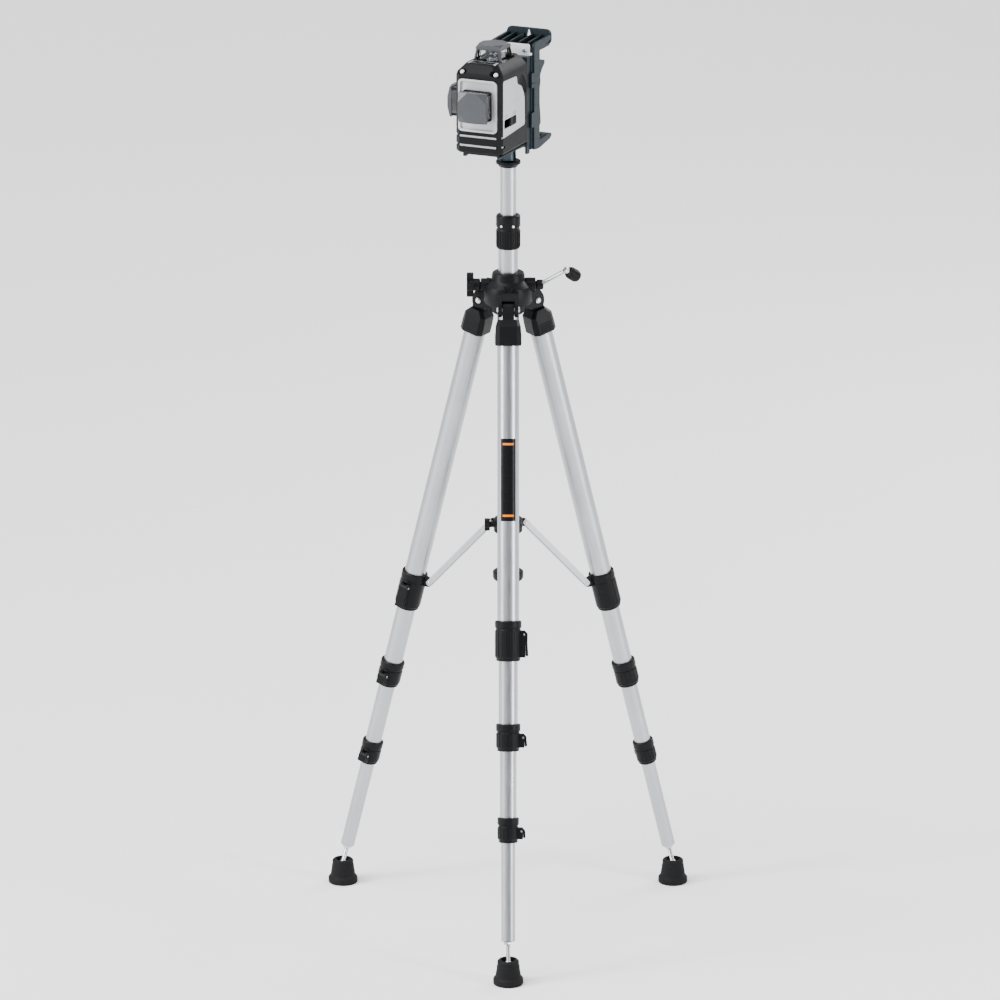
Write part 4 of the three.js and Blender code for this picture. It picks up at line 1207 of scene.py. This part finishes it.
def make_panels():
    """Silver panels, the raised bezel round the front window, stripes, bosses and the top plate."""
    low, high = FRONT_PANEL_Z
    middle = (0, (low + high) / 2)
    half = (high - low) / 2
    outer = rounded_outline(28.6, half - 0.4, 5.6, 6, middle)
    front = prism(outer, 2.2, 6, "y")
    bezel = flat_ring(outer, rounded_outline(25.4, half - 3.6, 3.4, 6, middle), 2.4, -0.6)
    outline = softened(shrunk(SIDE_PANEL, 0.5), 4.6)
    face, back = SHELL_HALF - PANEL_DEPTH, SHELL_HALF - 2.4
    left, right = prism(outline, -face, -back, "x"), prism(outline, back, face, "x")
    outside, groove = SHELL_HALF + 1, face - 0.4
    slot = prism(rounded_outline(20.4, 6.3, 2.6, 5, (34, 41)), SHELL_HALF - 2, outside, "x")
    right_seam = box((groove, 7, 67.6), (outside, 85, 68))
    left_seam = box((-outside, 7, 67.6), (-groove, 85, 68))
    right, left = carve(right, [slot, right_seam]), carve(left, [left_seam])
    spans = [(z - STRIPE_HALF, z + STRIPE_HALF) for z in STRIPE_Z]
    stripes = [box((-27, 1.6, bottom), (27, 3, top)) for bottom, top in spans]
    for bottom, top in spans:
        stripes += box_pair(32.4, 0.6, (8, bottom), (14, top))
    top = prism(rounded_outline(20.6, 7.2, 1.6, 4, (0, 21)), SHELL_HEIGHT - 2.4, SHELL_HEIGHT - 0.5, "z")
    piece("front_panel", merged(front, bezel), LASER, "silver", "head", "laser_core", 0.5)
    piece("side_panel_right", right, LASER, "silver", "head", edge=0.35)
    piece("side_panel_left", left, LASER, "silver", "head", edge=0.35)
    piece("shell_stripes", merged(*stripes), LASER, "silver", "head", edge=0.3)
    piece("top_plate", top, LASER, "silver", "head", edge=0.4)
    label = prism(rounded_outline(17.6, 5.2, 2.4, 6, (0, 21)), SHELL_HEIGHT - 0.6, SHELL_HEIGHT - 0.28, "z")
    piece("top_label", label, LASER, "label", "head", edge=0.1)
    studs = []
    for side in SIDES:
        boss = lathe([(0, -3), (3.2, -3), (3.2, -0.5), (2.8, 0), (1.6, 0.3), (0, 0.35)], 40)
        studs.append(aimed(boss, (0, -0.8, 0.6), (side * 25, 5.1, 112.4)))
    piece("shell_studs", merged(*studs), LASER, "silver", "head", edge=0.2)


def shrunk(outline, by):
    """The outline drawn in towards its middle by about this much."""
    middle = Vector((sum(p[0] for p in outline), sum(p[1] for p in outline))) / len(outline)
    points = []
    for corner in outline:
        away = Vector(corner) - middle
        points.append(tuple(middle + away * (1 - by / away.length)))
    return points


def make_shell():
    piece("shell_moulding", shell(), LASER, "shell", "head", "laser_shell", 0.9, 3)
    door = prism(rounded_outline(23.2, 27.4, 3, 5, (0, 48)), 0.1, 3.4, "z")
    piece("battery_cover", door, LASER, "shell", "head", "battery_door", 0.5)
    well = box((-23.2, 30.2, SHELL_HEIGHT - 9.2), (23.2, 76.8, SHELL_HEIGHT - 8.2))
    piece("turret_well", well, LASER, "shell", "head", edge=0.3)


def square(half, z, cut=0.0):
    """A square loop, with its corners cut off when asked."""
    if cut <= 0:
        return [(half, half, z), (-half, half, z), (-half, -half, z), (half, -half, z)]
    edge = half - cut
    return [
        (half, edge, z), (edge, half, z), (-edge, half, z), (-half, edge, z),
        (-half, -edge, z), (-edge, -half, z), (edge, -half, z), (half, -edge, z),
    ]


def faceted_cap(half, low, high):
    """A square cap with a flat octagon in front and four corner facets that fall away from it."""
    leg = half * 2 / 3
    cap = loft([square(half, low), square(half, high)])
    planes = []
    for turn in range(4):
        across = Matrix.Rotation(math.pi / 2 * turn + math.pi / 4, 4, "Z")
        near = (2 * half - leg) / math.sqrt(2)
        far = 2 * half / math.sqrt(2)
        reach = 3 * (far - near)
        end = near + reach
        fall = FACET_DROP * reach / (far - near)
        outline = [(near, high), (end, high - fall), (end, high + 1), (near, high + 1)]
        planes.append(turned(slab(outline, 0, 2 * half, "y"), across))
    return carve(cap, planes)


def head_frame(half, reach):
    """Base ring and four corner posts, standing on the XY plane."""
    ring = loft([square(half, 0, 2), square(half, 2.4, 2)])
    hole = loft([square(half - 4.4, -1, 1.5), square(half - 4.4, 4, 1.5)])
    ring = carve(ring, [hole])
    posts = [post(sx, sy, half - 1, 2, reach) for sx in SIDES for sy in SIDES]
    return merged(ring, *posts)


def post(sx, sy, edge, bottom, top):
    """An angle post whose outer corner lies towards (sx, sy)."""
    inner = edge - 3.2
    corners = [(edge, inner), (edge, edge - 1), (edge - 1, edge), (inner, edge), (inner, inner)]
    return loft([[(sx * x, sy * y, z) for x, y in corners] for z in (bottom, top)])


def panes(low_half, high_half, low, high):
    """Four separate glass panes that lean in with the frame."""
    made = []
    inset, thickness = 3.4, 1.1
    for turn in range(4):
        bm = loft([
            [(-half + inset, -half, z), (half - inset, -half, z), (half - inset, -half + thickness, z),
             (-half + inset, -half + thickness, z)]
            for half, z in ((low_half, low), (high_half, high))
        ])
        made.append(turned(bm, Matrix.Rotation(math.pi / 2 * turn, 4, "Z")))
    return merged(*made)


def optics(reach):
    """The cone prism that spreads the beam all round, its black base plate and the ring round it."""
    base = lathe([(0, 0.6), (13, 0.6), (13, 1.6), (8, 2.2), (6.5, 4), (0, 4)], 48)
    dip = reach * 0.28 + 4
    cone = lathe([(0, 4.2), (6, 4.2), (6, reach * 0.55), (0.6, dip), (0, dip)], 48)
    ring = tube(9, 7.4, 1.4, 5.4, 48)
    return base, cone, ring


def make_head(name, place, half, reach):
    cap_low = reach - 6.2
    cap = faceted_cap(half, cap_low, reach)
    posts = head_frame(half, reach - 5.8)
    piece(f"{name}_posts", posts, place, "window_frame", "head", f"{name}_frame", 0.35)
    piece(f"{name}_cap", cap, place, "cap", "head", edge=0.25, steps=3, smooth=8)
    glass = panes(half - 1.4, half - 1.4, 2.5, cap_low)
    piece(f"{name}_panes", glass, place, "glass", "head", f"{name}_glass")
    place_optics(name, place, reach)


def turret_frame():
    """The tapered frame of the top head: four leaning posts between a deep base and a thin upper band."""
    low_half, high_half, height = 21.4, 18, 22
    levels = ((low_half, 0, 1.6), (low_half, 3.4, 1.6), (high_half, height, 1.2))
    frame_shape = loft([square(*level) for level in levels])
    window = [
        (-low_half + 3.6, 4.8), (low_half - 3.6, 4.8), (high_half - 3.2, height - 1.4),
        (-high_half + 3.2, height - 1.4),
    ]
    hollow = loft([square(low_half - 3.4, -1), square(high_half - 2.6, height + 1)])
    windows = [slab(softened(window, 1), 0, 30, along) for along in "xy"]
    return carve(frame_shape, [hollow, *windows])


def turret_liner():
    """The black inner frame that borders each turret window."""
    low_half, high_half, low, high = 17.7, 15.2, 0.6, 21.6
    shape = loft([square(low_half, low), square(high_half, high)])
    window = [
        (-low_half + 2.6, 4.4), (low_half - 2.6, 4.4), (high_half - 2.4, high - 0.8),
        (-high_half + 2.4, high - 0.8),
    ]
    hollow = loft([square(low_half - 1.2, low - 1), square(high_half - 1.2, high + 1)])
    windows = [slab(window, 0, 30, along) for along in "xy"]
    return carve(shape, [hollow, *windows])


def make_turret():
    place = LASER @ shift(0, TURRET_Y, SHELL_HEIGHT - 7.7)
    piece("top_head_posts", turret_frame(), place, "frame", "head", "top_head_frame", 0.3)
    piece("top_head_cap", faceted_cap(18.3, 21.8, 28), place, "cap", "head", edge=0.3, steps=3, smooth=8)
    piece("top_head_liner", turret_liner(), place, "window_frame", "head", edge=0.15)
    piece("top_head_panes", panes(16.2, 13.8, 4, 21.4), place, "glass", "head", "top_head_glass")
    place_optics("top_head", place, 26)


def place_optics(name, place, reach):
    base, cone, ring = optics(reach)
    piece(f"{name}_base", base, place, "switch", "head", edge=0.2)
    piece(f"{name}_prism", cone, place, "glass", "head")
    piece(f"{name}_ring", ring, place, "steel", "head")


def make_heads():
    front = LASER @ towards(MINUS_Y, (0, 0.7, FRONT_HEAD_Z))
    side = LASER @ towards(MINUS_X, (-SHELL_HALF + 0.5, SIDE_HEAD_Y, SIDE_HEAD_Z))
    make_head("front_head", front, HEAD_HALF, HEAD_REACH)
    make_head("side_head", side, HEAD_HALF, HEAD_REACH)
    make_turret()


def make_switch():
    """The ribbed power slider in its slot, and the two generic words beside it."""
    x, low, high = SHELL_HALF, 35.6, 46.4
    body = box((x - 5.3, 31.2, low), (x - 1, 53.3, high))
    ribs = []
    for i in range(4):
        start = 33 + i * 5.2
        outline = [(start, low), (start + 3, low), (start + 3, high), (start, high)]
        ribs.append(prism(softened(outline, 0.8, 3), x - 1.8, x + 0.4 - (0.5 if i in (1, 2) else 0), "x"))
    piece("switch_slider", merged(body, *ribs), LASER, "switch", "slider", "power_slider", 0.35)
    floor = box((x - 2.6, 13.8, 34.8), (x - 2, 54.2, 47.2))
    piece("switch_slot_floor", floor, LASER, "switch", "head", edge=0.1)
    for words, y in (("ON", 15), ("OFF", 42)):
        curve = bpy.data.curves.new(f"word_{words}", "FONT")
        curve.body = words
        curve.size = 6.4 * MM
        curve.extrude = 0.2 * MM
        text = in_scene(f"switch_word_{words}", curve)
        curve.materials.append(MATERIALS["silver"])
        turn = Matrix.Rotation(math.pi / 2, 4, "Z") @ Matrix.Rotation(math.pi / 2, 4, "X")
        text.matrix_world = LASER @ shift(x - PANEL_DEPTH + 0.2, y, 49.4) @ turn
        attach(text, "head")


def make_pendulum():
    weight = lathe([(0, 28), (15, 28), (16, 29), (16, 43), (15, 44), (0, 44)], 64)
    arm = box((-5, -5, 43.5), (5, 5, 101.5))
    carrier = box((-13.6, -13.6, 60.4), (13.6, 13.6, 75.6))
    place = LASER @ shift(0, SHELL_DEPTH / 2, 0)
    piece("pendulum_body", merged(weight, arm, carrier), place, "brass", "pendulum", "pendulum", 0.5)


# ---- studio


def look(thing, direction):
    thing.rotation_mode = "QUATERNION"
    thing.rotation_quaternion = Vector(direction).to_track_quat("-Z", "Y")


def make_camera():
    """Straight towards the front leg and a little above, from far enough for nearly parallel sight lines."""
    low, high = CAD_BOX
    azimuth, elevation = math.radians(24), math.radians(17)
    away, frame_width = 10.0, 1.4
    level = math.cos(elevation)
    back = Vector((math.sin(azimuth) * level, -math.cos(azimuth) * level, math.sin(elevation)))
    right = Vector((math.cos(azimuth), math.sin(azimuth), 0))
    drop, share = 0.028, 0.8
    target = (low + high) / 2 - Vector((0, 0, drop))
    target += right * right.dot(AXIS - target) * share
    camera = in_scene("camera", bpy.data.cameras.new("camera"))
    camera.location = target + back * away
    look(camera, -back)
    sensor = 36
    camera.data.sensor_width = sensor
    camera.data.lens = sensor * away / frame_width
    camera.data.clip_end = 100
    bpy.context.scene.camera = camera


def area_light(name, place, target, size, power):
    data = bpy.data.lights.new(name, "AREA")
    data.shape = "RECTANGLE"
    data.size = size[0]
    data.size_y = size[1]
    data.energy = power
    light = in_scene(name, data)
    light.location = place
    look(light, Vector(target) - Vector(place))


def shade_one_side(tree, background):
    """Dims the room towards the front right, so round metal shows a dark band beside its highlight."""
    place = tree.nodes.new("ShaderNodeTexCoord")
    facing = tree.nodes.new("ShaderNodeVectorMath")
    facing.operation = "DOT_PRODUCT"
    facing.inputs[1].default_value = (0.93, -0.36, 0)
    span = tree.nodes.new("ShaderNodeMapRange")
    span.interpolation_type = "SMOOTHSTEP"
    for name, value in (("From Min", 0.1), ("From Max", 0.9), ("To Min", 0.85), ("To Max", 0.22)):
        span.inputs[name].default_value = value
    tree.links.new(place.outputs["Generated"], facing.inputs[0])
    tree.links.new(facing.outputs["Value"], span.inputs["Value"])
    tree.links.new(span.outputs["Result"], background.inputs["Strength"])


def make_studio():
    paint = Paint("pale_floor", (0.86, 0.86, 0.86), 0.6)
    paint.vary_roughness(0.05, 3)
    bm = bmesh.new()
    bmesh.ops.create_grid(bm, x_segments=1, y_segments=1, size=60)
    mesh = bpy.data.meshes.new("floor")
    bm.to_mesh(mesh)
    bm.free()
    floor = in_scene("floor", mesh)
    floor.location.z = -FLOOR_GAP
    mesh.materials.append(paint.material)
    world = bpy.data.worlds.new("studio")
    world.use_nodes = True
    background = world.node_tree.nodes["Background"]
    background.inputs["Color"].default_value = (0.97, 0.98, 1, 1)
    shade_one_side(world.node_tree, background)
    bpy.context.scene.world = world
    sun = bpy.data.lights.new("sky_panel", "SUN")
    sun.energy = 4.6
    sun.angle = math.radians(50)
    look(in_scene("sky_panel", sun), (0.35, 0.5, -1))
    middle = (0, 0, 0.9)
    area_light("key", (-2.2, -2.2, 2.0), middle, (0.7, 2.4), 130)
    area_light("side", (3.1, -0.4, 1.4), middle, (0.5, 2.4), 90)
    area_light("rim", (1.2, 3.2, 2.6), middle, (1.6, 1.6), 90)


# ---- all of it

make_camera()
make_studio()
for letter in LEGS:
    make_leg(letter)
    make_brace(letter)
make_leg_label()
make_centre()
make_carriage()
make_knob()
make_rail()
make_lever()
make_shell()
make_panels()
make_heads()
make_switch()
make_pendulum()
